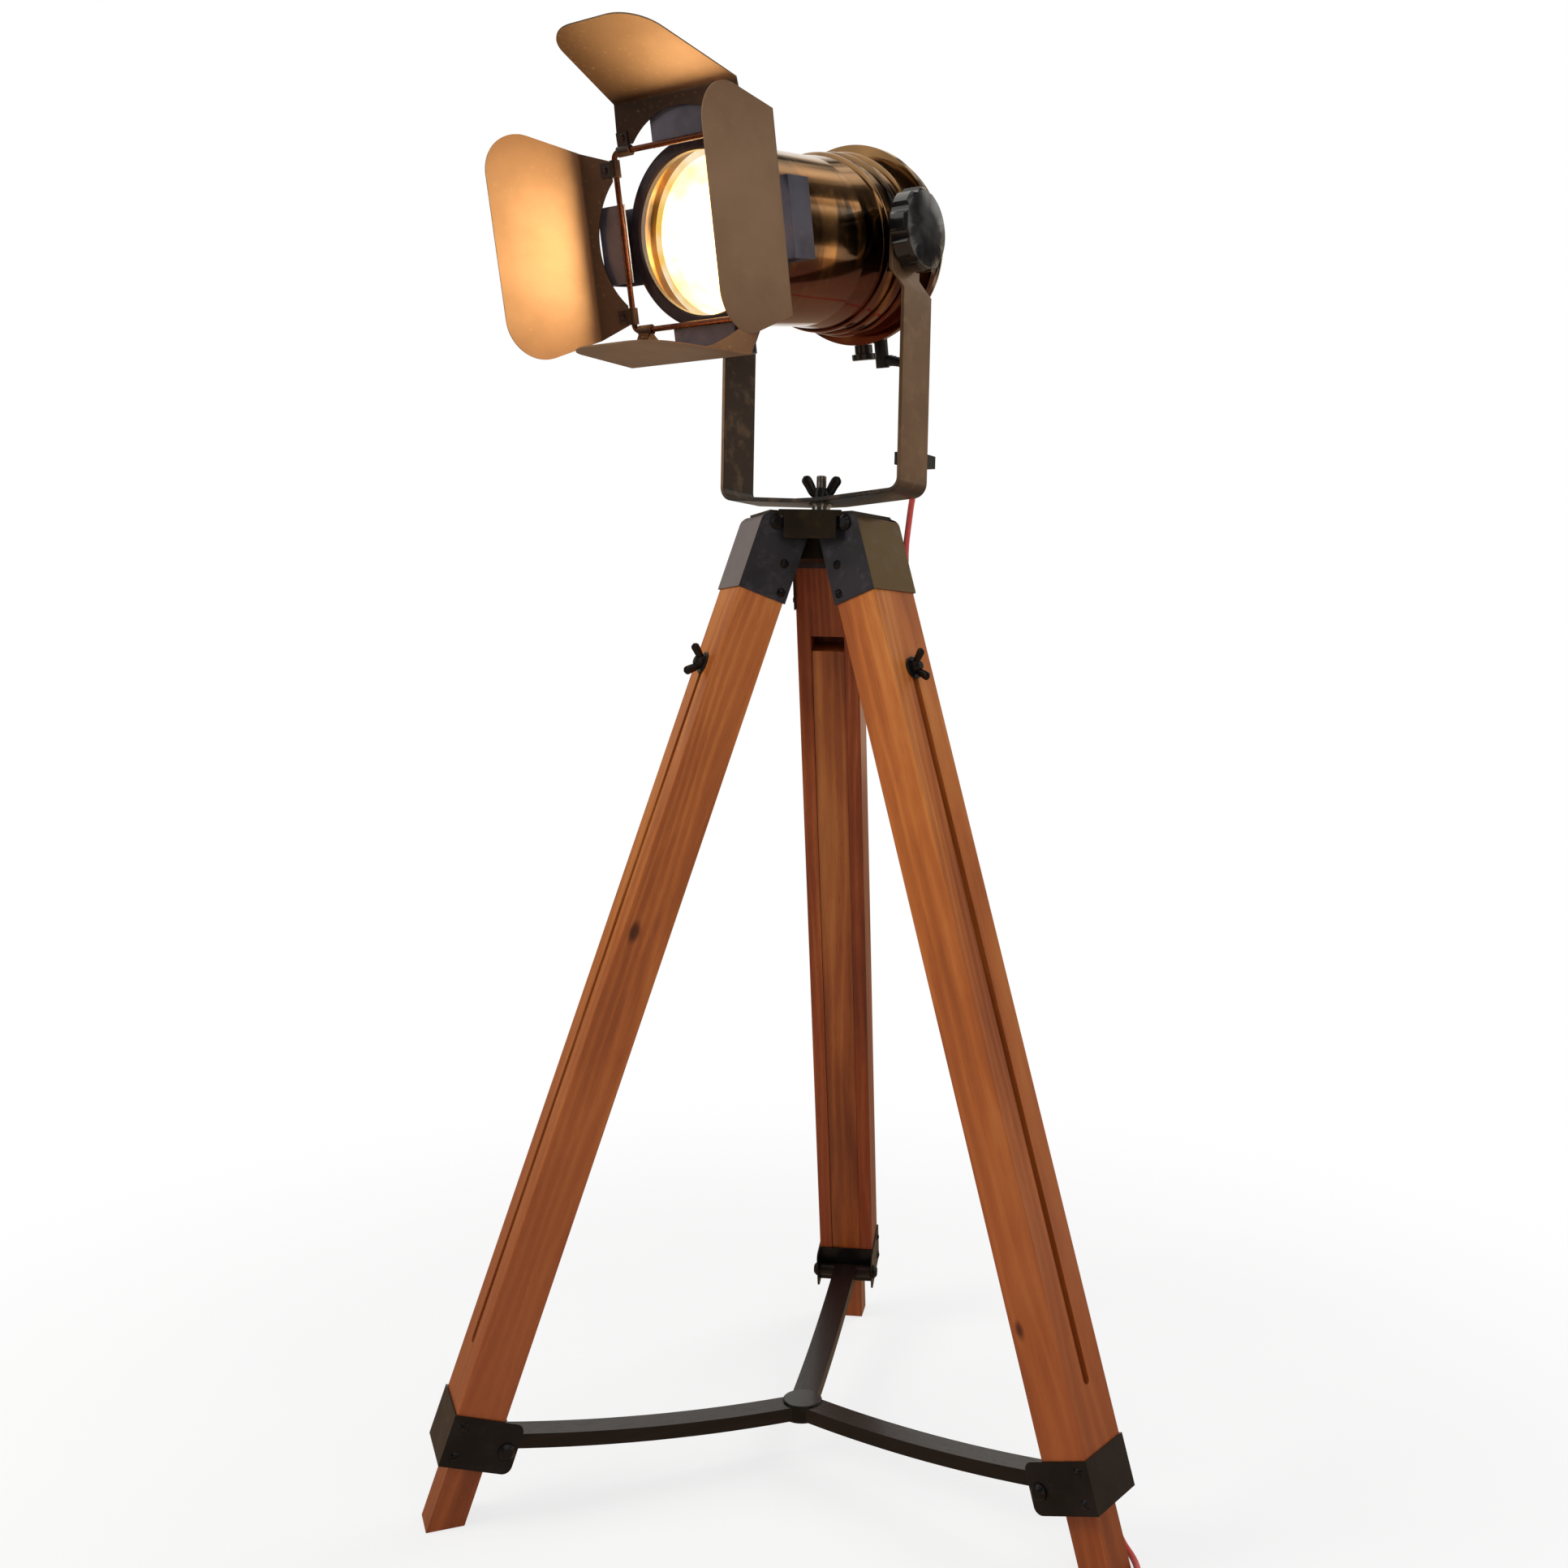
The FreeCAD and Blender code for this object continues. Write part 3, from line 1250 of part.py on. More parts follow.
saddles = []
for number, station in enumerate(CLIP_STATIONS):
    saddle = block(f"saddle_{number}", (CORD_X - 6, d.leg_width / 2, station - 5),
                   (CORD_X + 6, d.leg_width / 2 + 8, station + 5))
    put(saddle, in_leg(CORD_LEG, (CORD_X - 6, d.leg_width / 2, station - 5)))
    cords_inside = [leg_cord, middle_cord] if number == 0 else [leg_cord]
    saddles.append(cut(f"saddle_bored_{number}", saddle, *cords_inside))
keep(grouped("saddle_set", saddles), "cord_clips")

PLUG_LENGTH = 36.0
PIN_RADIUS = 2.0
PIN_NECK = 1.5                  # the pins are thinner in the plug and just before it
PIN_SPREAD = 9.5
pin_profile = [(0, 0), (PIN_NECK, 0), (PIN_NECK, 8.5), (PIN_RADIUS, 8.5), (PIN_RADIUS, 27), (0, 27)]
plug_height = d.cord_radius.value + FLOOR_GAP + COIL_PITCH
plug_x = COIL_CENTRE[0] - coil_radius(COIL_HALF_TURNS)
plug_y = COIL_CENTRE[1] - COIL_LEAD_OUT
plug_outline = [(-9, 0), (-17, -12), (-17, -PLUG_LENGTH), (17, -PLUG_LENGTH), (17, -12), (9, 0)]
plug = padded("plug_solid", "XY", [plug_outline], (plug_height - FLOOR_GAP) * 2, plug_height)
rounded(plug, "plug_edges", 3, lambda point, way: abs(way.z) > 0.9)
put(plug, place((plug_x, plug_y, 0)))
pins = []
for letter, offset in (("a", -PIN_SPREAD), ("b", PIN_SPREAD)):
    pin = revolved(f"plug_pin_{letter}", [pin_profile], "XZ")
    pins.append(put(pin, place((plug_x + offset, plug_y - PLUG_LENGTH + 8, plug_height), ("x", 90))))
keep(cut("plug_bored", plug, *pins), "plug_body")
keep(grouped("plug_pin_set", pins), "plug_pins")


# ---- checks and output --------------------------------------------------------------------------

doc.recompute()
problems = [f"{piece.Name}: {piece.State}" for piece in doc.Objects
            if "Invalid" in piece.State or "Error" in piece.State]
for piece in nodes:
    shape = piece.Shape
    if shape.isNull() or not shape.isValid() or not shape.Solids:
        problems.append(f"{piece.Label}: no valid solid")
if problems:
    raise RuntimeError("; ".join(problems))

os.makedirs("parts", exist_ok=True)
for piece in nodes:
    piece.Shape.exportStep(f"parts/{piece.Label}.step")
print(len(nodes), "nodes", sum(len(piece.Shape.Solids) for piece in nodes), "solids")
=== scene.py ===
"""Looks of a tripod spotlight floor lamp: finishes, lead, small fittings, studio and camera.

Every length is in metres in the lamp's own frame: the origin is on the floor under the pan axis,
+Z is up and the beam points towards -Y.
"""

import json
import logging
import math
from collections.abc import Callable, Mapping, Sequence
from dataclasses import dataclass, field
from enum import Enum

import bmesh
import bpy
from mathutils import Matrix, Vector
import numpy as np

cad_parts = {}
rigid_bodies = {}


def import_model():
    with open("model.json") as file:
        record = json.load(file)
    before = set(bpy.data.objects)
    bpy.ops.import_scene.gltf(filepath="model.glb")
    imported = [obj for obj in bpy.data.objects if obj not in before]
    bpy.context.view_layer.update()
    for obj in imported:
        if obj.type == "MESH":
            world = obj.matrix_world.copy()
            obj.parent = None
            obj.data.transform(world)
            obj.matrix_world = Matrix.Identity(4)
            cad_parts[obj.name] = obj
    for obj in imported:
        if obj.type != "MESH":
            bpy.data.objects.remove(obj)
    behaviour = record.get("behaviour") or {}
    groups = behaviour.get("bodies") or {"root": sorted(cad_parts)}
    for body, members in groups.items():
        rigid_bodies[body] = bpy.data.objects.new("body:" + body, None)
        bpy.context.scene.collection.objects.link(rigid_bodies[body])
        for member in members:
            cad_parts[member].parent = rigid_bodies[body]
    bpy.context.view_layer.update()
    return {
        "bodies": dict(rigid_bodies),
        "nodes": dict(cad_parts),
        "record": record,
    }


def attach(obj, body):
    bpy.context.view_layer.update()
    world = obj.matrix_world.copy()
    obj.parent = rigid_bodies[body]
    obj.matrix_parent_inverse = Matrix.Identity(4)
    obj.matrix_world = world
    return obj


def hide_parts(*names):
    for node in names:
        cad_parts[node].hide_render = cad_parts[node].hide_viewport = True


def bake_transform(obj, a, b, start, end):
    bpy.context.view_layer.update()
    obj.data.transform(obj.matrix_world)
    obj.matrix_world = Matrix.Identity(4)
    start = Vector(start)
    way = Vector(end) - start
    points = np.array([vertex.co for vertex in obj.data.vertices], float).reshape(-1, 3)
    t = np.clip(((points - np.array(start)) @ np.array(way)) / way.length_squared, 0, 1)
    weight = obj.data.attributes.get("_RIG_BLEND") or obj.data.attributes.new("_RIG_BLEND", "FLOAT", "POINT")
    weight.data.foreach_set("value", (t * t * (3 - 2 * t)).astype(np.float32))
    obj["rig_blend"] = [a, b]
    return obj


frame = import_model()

log = logging.getLogger("lamp")

Colour = tuple[float, float, float, float]
Point = tuple[float, float, float]
Sockets = Mapping[str, object]
TURN = 2 * math.pi


def tint(code: str) -> Colour:
    """Turns a six-digit screen colour into a linear one.

    Args:
        code: Hexadecimal digits of red, green and blue.

    Returns:
        The linear colour with full opacity.
    """
    parts = [int(code[i:i + 2], 16) / 255 for i in (0, 2, 4)]
    linear = [p / 12.92 if p <= 0.04045 else ((p + 0.055) / 1.055) ** 2.4 for p in parts]
    return (linear[0], linear[1], linear[2], 1.0)


# ---- places that several sub-assemblies share ----

class Leg(Enum):
    """The tripod's legs, each with its azimuth in degrees."""

    REAR = 115.0
    LEFT = 235.0
    RIGHT = 355.0

    @property
    def word(self) -> str:
        """Name of the leg in the nodes' names."""
        return self.name.lower()


@dataclass(frozen=True)
class Layout:
    """Frames of the legs and of the head.

    Attributes:
        hinge_height: Height of a leg's reference point.
        leg_start: Distance of a leg's outer face from the pan axis at that height.
        splay: Angle of a leg from the pan axis, in degrees.
        pivot_height: Height of the tilt axis.
        rest_tilt: Tilt of the head at rest, in degrees.
        wire_half: Half the side of the wire frame that carries the leaves.
        wire_place: Distance of the wire frame before the tilt axis.
    """

    hinge_height: float = 0.941
    leg_start: float = 0.070
    splay: float = 18.4
    pivot_height: float = 1.212
    rest_tilt: float = 12.0
    wire_half: float = 0.075
    wire_place: float = 0.211

    def leg(self, leg: Leg) -> Matrix:
        """Frame of a leg: X outwards, Y across and Z up along it.

        Args:
            leg: The leg.

        Returns:
            Its frame.
        """
        turn = math.radians(leg.value)
        base = (self.leg_start * math.cos(turn), self.leg_start * math.sin(turn), self.hinge_height)
        return (Matrix.Translation(base) @ Matrix.Rotation(turn, 4, "Z")
                @ Matrix.Rotation(-math.radians(self.splay), 4, "Y"))

    def beside_leg(self, leg: Leg, reach: float, side: float, height: float) -> Vector:
        """Point at a distance from the pan axis, beside the plane of a leg."""
        return Matrix.Rotation(math.radians(leg.value), 4, "Z") @ Vector((reach, side, height))

    def arm(self, leg: Leg) -> Matrix:
        """Frame of a brace arm, with Z along it."""
        return (Matrix.Rotation(math.radians(leg.value), 4, "Z")
                @ Matrix.Rotation(math.pi / 2, 4, "Y"))

    def head(self) -> Matrix:
        """Frame of the head: origin on the tilt axis, the beam along -Y."""
        return (Matrix.Translation((0, 0, self.pivot_height))
                @ Matrix.Rotation(math.radians(self.rest_tilt), 4, "X"))


LAYOUT = Layout()


# ---- shader expressions ----

class Flow:
    """Output of a shader node; arithmetic on it adds the nodes that work it out."""

    def __init__(self, bench: "Bench", socket: bpy.types.NodeSocket) -> None:
        """Keeps the tree and the socket."""
        self.bench = bench
        self.socket = socket

    def _combine(self, operation: str, other: object, reflected: bool = False) -> "Flow":
        """Adds the node for one operation.

        Args:
            operation: Name of the operation, as the nodes call it.
            other: The second operand: a number, a vector, a colour or another flow.
            reflected: Whether the other operand comes first.

        Returns:
            The result.
        """
        first, second = (other, self) if reflected else (self, other)
        kind = self.socket.type
        if kind == "VALUE" and isinstance(other, Flow) and other.socket.type != "VALUE":
            kind = other.socket.type
        if kind == "VALUE":
            return self.bench.node("ShaderNodeMath", {"operation": operation},
                                   {"Value": first, "Value_001": second})
        if kind == "VECTOR":
            first, second = (self._spread(value) for value in (first, second))
            return self.bench.node("ShaderNodeVectorMath", {"operation": operation},
                                   {"Vector": first, "Vector_001": second})
        return self.bench.node(
            "ShaderNodeMix", {"data_type": "RGBA", "blend_type": operation, "clamp_result": False},
            {"Factor_Float": 1.0, "A_Color": first, "B_Color": second}, "Result_Color")

    @staticmethod
    def _spread(value: object) -> object:
        """A plain number as a vector of equal parts; anything else as it is."""
        return (value, value, value) if isinstance(value, (int, float)) else value

    def __add__(self, other: object) -> "Flow":
        """Sum."""
        return self._combine("ADD", other)

    def __radd__(self, other: object) -> "Flow":
        """Sum, reflected."""
        return self._combine("ADD", other, True)

    def __sub__(self, other: object) -> "Flow":
        """Difference."""
        return self._combine("SUBTRACT", other)

    def __rsub__(self, other: object) -> "Flow":
        """Difference, reflected."""
        return self._combine("SUBTRACT", other, True)

    def __mul__(self, other: object) -> "Flow":
        """Product."""
        return self._combine("MULTIPLY", other)

    def __rmul__(self, other: object) -> "Flow":
        """Product, reflected."""
        return self._combine("MULTIPLY", other, True)

    def __pow__(self, other: object) -> "Flow":
        """Power of a value."""
        return self._combine("POWER", other)

    def sine(self) -> "Flow":
        """Sine of a value in turns, from 0 to 1."""
        return (self * TURN).single("SINE") * 0.5 + 0.5

    def single(self, operation: str) -> "Flow":
        """Function of one value, such as its square root."""
        return self.bench.node("ShaderNodeMath", {"operation": operation}, {"Value": self})

    def length(self) -> "Flow":
        """Length of a vector."""
        return self.bench.node("ShaderNodeVectorMath", {"operation": "LENGTH"}, {"Vector": self},
                               "Value")

    def towards(self, way: Vector) -> "Flow":
        """Share of a vector that points along a direction."""
        return self.bench.node("ShaderNodeVectorMath", {"operation": "DOT_PRODUCT"},
                               {"Vector": self, "Vector_001": way}, "Value")

    def larger(self, other: object) -> "Flow":
        """The larger of two values."""
        return self._combine("MAXIMUM", other)

    def between(self, low: float, high: float) -> "Flow":
        """Smooth step from 0 at low to 1 at high.

        Args:
            low: Value that gives 0.
            high: Value that gives 1.

        Returns:
            The step.
        """
        return self.bench.node("ShaderNodeMapRange", {"interpolation_type": "SMOOTHSTEP"},
                               {"Value": self, "From Min": low, "From Max": high}, "Result")


class Bench:
    """A node tree, with one way to add nodes and the few textures that the finishes share."""

    def __init__(self, tree: bpy.types.NodeTree) -> None:
        """Empties the tree."""
        self.tree = tree
        tree.nodes.clear()

    @staticmethod
    def _socket(sockets: bpy.types.bpy_prop_collection, word: str) -> bpy.types.NodeSocket:
        """Finds a socket by its identifier, or else by its name among those in use."""
        exact = [s for s in sockets if s.identifier == word]
        return (exact or [s for s in sockets if s.name == word and s.enabled])[0]

    def feed(self, socket: bpy.types.NodeSocket, value: object) -> None:
        """Links a flow to a socket or sets the socket's own value."""
        if isinstance(value, Flow):
            self.tree.links.new(value.socket, socket)
        else:
            socket.default_value = value

    def node(self, kind: str, settings: Mapping[str, object] | None = None,
             sockets: Sockets | None = None, output: str | None = None) -> Flow:
        """Adds a node.

        Args:
            kind: The node's type.
            settings: Its properties, set first; "stops" are a ramp's places and colours.
            sockets: Values or flows for its inputs, by identifier or name.
            output: The output wanted, or None for the first.

        Returns:
            That output.
        """
        made = self.tree.nodes.new(kind)
        for word, value in (settings or {}).items():
            if word == "stops":
                self._set_stops(made.color_ramp, value)
            else:
                setattr(made, word, value)
        for word, value in (sockets or {}).items():
            self.feed(self._socket(made.inputs, word), value)
        if output:
            return Flow(self, self._socket(made.outputs, output))
        return Flow(self, next(iter(made.outputs), None))

    @staticmethod
    def _set_stops(ramp: bpy.types.ColorRamp, stops: Sequence[tuple[float, Colour]]) -> None:
        """Gives a ramp its stops.

        Args:
            ramp: The ramp.
            stops: Places from 0 to 1, each with its colour.
        """
        while len(ramp.elements) < len(stops):
            ramp.elements.new(1.0)
        for element, (place, colour) in zip(ramp.elements, stops):
            element.position = place
            element.color = colour

    def coordinates(self, output: str = "Object") -> Flow:
        """Coordinates on the piece itself, which move with it."""
        return self.node("ShaderNodeTexCoord", output=output)

    def noise(self, where: Flow, scale: float, detail: float = 2.0, roughness: float = 0.5) -> Flow:
        """Soft noise, from about 0.2 to 0.8."""
        sockets = {"Vector": where, "Scale": scale, "Detail": detail, "Roughness": roughness}
        return self.node("ShaderNodeTexNoise", None, sockets, "Fac")

    def mix(self, share: object, first: object, second: object) -> Flow:
        """Blends two colours."""
        return self.node("ShaderNodeMix", {"data_type": "RGBA"},
                         {"Factor_Float": share, "A_Color": first, "B_Color": second}, "Result_Color")

    def blend(self, share: Flow, first: Flow, second: Flow) -> Flow:
        """Blends two shaders."""
        return self.node("ShaderNodeMixShader", None,
                         {"Fac": share, "Shader": first, "Shader_001": second})

    def ramp(self, value: Flow, *stops: tuple[float, Colour]) -> Flow:
        """Colour of a value between stops."""
        return self.node("ShaderNodeValToRGB", {"stops": stops}, {"Fac": value}, "Color")

    def parts(self, vector: Flow) -> tuple[Flow, Flow, Flow]:
        """Splits a vector.

        Args:
            vector: The vector.

        Returns:
            Its three parts.
        """
        split = self.node("ShaderNodeSeparateXYZ", None, {"Vector": vector})
        outputs = split.socket.node.outputs
        return Flow(self, outputs[0]), Flow(self, outputs[1]), Flow(self, outputs[2])


class Recipe(Bench):
    """Node tree of a material with one principled shader."""

    def __init__(self, name: str) -> None:
        """Makes the material and its shader.

        Args:
            name: Name of the material.
        """
        self.material = bpy.data.materials.new(name)
        self.material.use_nodes = True
        super().__init__(self.material.node_tree)
        shader = self.node("ShaderNodeBsdfPrincipled")
        self.shader = shader.socket.node
        self.node("ShaderNodeOutputMaterial", None, {"Surface": shader})

    def local(self, place: Matrix) -> Flow:
        """Coordinates on the piece in a frame of the lamp.

        Args:
            place: The frame.

        Returns:
            The coordinates.
        """
        inverse = place.inverted()
        return self.node("ShaderNodeMapping", None, {
            "Vector": self.coordinates(), "Location": inverse.translation,
            "Rotation": inverse.to_euler("XYZ")})

    def bump(self, height: Flow, distance: float, strength: float = 1.0) -> Flow:
        """Normal of a surface raised by a height.

        Args:
            height: The height, from 0 to 1.
            distance: The rise at 1, in metres.
            strength: Share of the effect.

        Returns:
            The normal.
        """
        return self.node("ShaderNodeBump", None,
                         {"Height": height, "Distance": distance, "Strength": strength}, "Normal")

    def done(self, sockets: Sockets) -> bpy.types.Material:
        """Feeds the shader's sockets.

        Args:
            sockets: What each of them is fed with.

        Returns:
            The material.
        """
        for word, value in sockets.items():
            self.feed(self.shader.inputs[word], value)
        return self.material


# ---- finishes ----

@dataclass(frozen=True)
class Look:
    """A finish, which makes one material.

    Attributes:
        name: Name of the material.
    """

    name: str

    def sockets(self, recipe: Recipe) -> Sockets:
        """What the sockets of the shader are fed with."""
        raise NotImplementedError

    def material(self) -> bpy.types.Material:
        """Builds the material."""
        recipe = Recipe(self.name)
        return recipe.done(self.sockets(recipe))


@dataclass(frozen=True)
class Timber(Look):
    """Wood with growth rings, fibres and pores that run along one axis.

    Attributes:
        place: Frame of the piece, its Z along the grain.
        seed: Shift that gives each piece its own figure.
        shades: Screen colours of late wood, middle wood and early wood.
        foot: Screen colour that the lower end takes on.
        reach: Length over which the colour turns to that of the foot.
        knots: Places of knots in the piece's frame.
        gloss: Roughness of the varnish.
    """

    place: Matrix
    seed: float
    shades: tuple[str, str, str]
    foot: str
    reach: float = 0.95
    knots: tuple[Point, ...] = ()
    gloss: float = 0.3

    def sockets(self, recipe: Recipe) -> Sockets:
        """Works out the wood.

        Args:
            recipe: Tree that the nodes go into.

        Returns:
            What each socket of the shader is fed with.
        """
        local = recipe.local(self.place)
        moved = local + (self.seed, self.seed * 1.7, self.seed * 2.3)
        cloud = recipe.noise(moved * (16, 16, 2.4), 1.0, 3).between(0.3, 0.7)
        drift = recipe.noise(moved * (11, 11, 1.6), 1.0, 2)
        fibre = recipe.noise(moved * (620, 620, 11), 1.0, 3)
        pore = recipe.noise(moved * (1300, 1300, 42), 1.0, 1).between(0.62, 0.74)
        figure = recipe.noise(moved * (30, 30, 5), 1.0, 4, 0.6).between(0.35, 0.65)
        across, over, along = recipe.parts(local)
        pith_x = 0.055 + 0.02 * math.sin(self.seed * 9)
        pith_y = 0.05 * math.cos(self.seed * 5)
        radius = ((across + pith_x) ** 2 + (over - pith_y) ** 2) ** 0.5
        ring = (radius * 125 + drift * 7.5).sine() ** 2.2
        tone = ring * 0.17 + cloud * 0.36 + figure * 0.24 + fibre * 0.26
        dark, middle, light = (tint(code) for code in self.shades)
        colour = recipe.ramp(tone, (0.12, dark), (0.5, middle), (0.92, light))
        low = (along * -1).between(self.reach * 0.12, self.reach) * (cloud * 0.3 + 0.7)
        colour = recipe.mix(low * 0.8, colour, recipe.mix(tone, dark, tint(self.foot)))
        colour = recipe.mix(pore * 0.4, colour, dark)
        for knot in self.knots:
            gap = (local - knot) * (1.0, 1.0, 0.55)
            near = 1 - (gap.length() + (figure - 0.5) * 0.003).between(0.002, 0.0075)
            colour = recipe.mix(near * 0.8, colour, tint("2c0d06"))
        rough = self.gloss + fibre * 0.14 + pore * 0.15 + cloud * 0.05
        relief = fibre * 0.5 + ring * 0.2 - pore * 0.8
        return {
            "Base Color": colour, "Roughness": rough, "Normal": recipe.bump(relief, 0.00012, 0.6),
            "Coat Weight": 0.2, "Coat Roughness": 0.16, "Specular IOR Level": 0.35}


@dataclass(frozen=True)
class Lacquer(Look):
    """Paint or patina on metal, a little uneven, with specks and rubbed places.

    Attributes:
        body: Screen colour of the paint.
        shade: Screen colour of its darker clouds.
        rub: Screen colour of rubbed places.
        metallic: How much of it shines like metal.
        roughness: Mean roughness.
        coat: Weight of the clear coat.
        grit: Height of the orange peel or casting skin, in metres.
        grain: Number of grains of that skin per metre.
        rubbed: Share of rubbed places.
    """

    body: str
    shade: str
    rub: str
    metallic: float = 0.4
    roughness: float = 0.4
    coat: float = 0.0
    grit: float = 0.00003
    grain: float = 900.0
    rubbed: float = 0.35

    def sockets(self, recipe: Recipe) -> Sockets:
        """Works out the paint.

        Args:
            recipe: Tree that the nodes go into.

        Returns:
            What each socket of the shader is fed with.
        """
        where = recipe.coordinates()
        cloud = recipe.noise(where, 17.0, 3, 0.6).between(0.3, 0.7)
        patch = recipe.noise(where, 48.0, 4, 0.65).between(0.52, 0.72)
        skin = recipe.noise(where, self.grain, 2)
        speck = recipe.noise(where, self.grain * 1.9, 1).between(0.6, 0.72)
        scratch = recipe.noise(where * (60, 60, 1400), 1.0, 2).between(0.66, 0.72)
        colour = recipe.mix(cloud, tint(self.shade), tint(self.body))
        colour = recipe.mix(speck * 0.3, colour, tint(self.shade))
        colour = recipe.mix((patch * 0.5 + scratch * patch) * self.rubbed, colour, tint(self.rub))
        rough = self.roughness - 0.06 + cloud * 0.08 + skin * 0.06 - patch * 0.05
        return {
            "Base Color": colour, "Roughness": rough, "Metallic": self.metallic,
            "Normal": recipe.bump(skin + scratch * 0.3, self.grit, 0.7),
            "Coat Weight": self.coat, "Coat Roughness": 0.08}


@dataclass(frozen=True)
class CapSteel(Look):
    """Satin steel of a leg's cap, with painted light on its outward face that differs from leg to leg.

    Attributes:
        place: Frame of the leg, its X outwards.
        outer: Screen colour of the painted light on the outward face.
        body: Screen colour of the cheeks.
        shade: Screen colour of darker clouds.
    """

    place: Matrix
    outer: str
    body: str = "3b383d"
    shade: str = "29272a"

    def sockets(self, recipe: Recipe) -> Sockets:
        """Works out the steel.

        Args:
            recipe: Tree that the nodes go into.

        Returns:
            What each socket of the shader is fed with.
        """
        where = recipe.coordinates()
        outward = self.place.to_3x3() @ Vector((1, 0, 0))
        lit_face_share = recipe.coordinates("Normal").towards(outward)
        cloud = recipe.noise(where, 21.0, 3, 0.6).between(0.3, 0.7)
        patch = recipe.noise(where, 60.0, 4, 0.65).between(0.5, 0.74)
        brushed = recipe.noise(where * (900, 900, 60), 1.0, 2)
        colour = recipe.mix(cloud, tint(self.shade), tint(self.body))
        # painted light on the outward face
        colour = recipe.mix(lit_face_share.between(0.6, 0.9), colour, tint(self.outer))
        colour = recipe.mix(patch * 0.22, colour, tint("7d7884"))
        return {
            "Base Color": colour, "Metallic": 0.5, "Roughness": 0.34 + cloud * 0.08 + brushed * 0.06,
            "Normal": recipe.bump(brushed, 0.00002, 0.6), "Coat Weight": 0.1, "Coat Roughness": 0.15}


@dataclass(frozen=True)
class Strap(Look):
    """Bronze satin of the yoke, with painted shade on its inner faces and darker along its base.

    Attributes:
        outer: Screen colour of the outer faces.
        inner: Screen colour of the painted shade on the inner faces.
        base: Screen colour of the base.
        low: Height of the base's bends.
    """

    outer: str = "84664a"
    inner: str = "3a2b21"
    base: str = "2b2622"
    low: float = 0.982

    def sockets(self, recipe: Recipe) -> Sockets:
        """Works out the bronze.

        Args:
            recipe: Tree that the nodes go into.

        Returns:
            What each socket of the shader is fed with.
        """
        where = recipe.coordinates()
        across, _, height = recipe.parts(where)
        sideways, _, _ = recipe.parts(recipe.coordinates("Normal"))
        inner_face_shade = (across * sideways * -10).between(0.1, 0.7)
        cloud = recipe.noise(where, 19.0, 3, 0.6)
        patch = recipe.noise(where, 55.0, 4, 0.65).between(0.5, 0.72)
        skin = recipe.noise(where, 850.0, 2)
        colour = recipe.mix(cloud.between(0.3, 0.7) * 0.5, tint(self.outer), tint("6b5038"))
        # painted shade on the inner faces
        colour = recipe.mix(inner_face_shade, colour, tint(self.inner))
        below = 1 - (height + cloud * 0.012).between(self.low - 0.012, self.low + 0.012)
        colour = recipe.mix(below, colour, tint(self.base))
        colour = recipe.mix(patch * 0.2, colour, tint("b08c66"))
        return {
            "Base Color": colour, "Metallic": 0.5, "Roughness": 0.33 + cloud * 0.1 + skin * 0.05,
            "Normal": recipe.bump(skin, 0.00003, 0.7), "Coat Weight": 0.15, "Coat Roughness": 0.1}


@dataclass(frozen=True)
class Patina(Look):
    """Polished dark bronze of the housing, with painted reflections: gold streaks round it, a tan upper side,
    a red brown underside and gold towards the front.

    Attributes:
        black: Screen colour of the darkest streaks.
        gold: Screen colour of the painted gold reflections.
        tan: Screen colour of the painted reflection on the upper side.
        red: Screen colour of the painted reflection on the underside.
    """

    black: str = "0d0807"
    gold: str = "cf9656"
    tan: str = "a98458"
    red: str = "7a3418"

    def sockets(self, recipe: Recipe) -> Sockets:
        """Works out the dark bronze and its painted reflections.

        Args:
            recipe: Tree that the nodes go into.

        Returns:
            What each socket of the shader is fed with.
        """
        local = recipe.local(LAYOUT.head())
        side, along, rise = recipe.parts(local)
        reflection_streaks = recipe.noise(local * (5, 36, 8), 1.0, 3, 0.5).between(0.47, 0.62)
        veil = recipe.noise(local * (14, 5, 14), 1.0, 3, 0.55).between(0.4, 0.64)
        fine = recipe.noise(local, 120.0, 4, 0.6).between(0.5, 0.75)
        scratch = recipe.noise(local * (40, 1600, 40), 1.0, 2)
        under = 1 - (rise + veil * 0.02).between(-0.06, 0.005)
        crown_reflection = (rise + reflection_streaks * 0.03 - side * 0.1).between(0.02, 0.075)
        # painted reflections: gold streaks, a tan upper side, a red brown underside and gold towards the
        # front
        colour = recipe.mix(reflection_streaks * (0.35 + veil * 0.65), tint(self.black), tint(self.gold))
        colour = recipe.mix(crown_reflection * 0.6, colour, tint(self.tan))
        colour = recipe.mix(under * (0.85 - reflection_streaks * 0.4), colour, tint(self.red))
        colour = recipe.mix((0 - along).between(0.05, 0.13) * veil * 0.5, colour, tint(self.gold))
        colour = recipe.mix(fine * 0.15, colour, tint("b07a45"))
        return {
            "Base Color": colour, "Metallic": 0.97, "Roughness": 0.1 + fine * 0.07 + veil * 0.04,
            "Normal": recipe.bump(scratch * 0.4 + fine * 0.2, 0.00001, 0.5), "Coat Weight": 0.35,
            "Coat Roughness": 0.05}


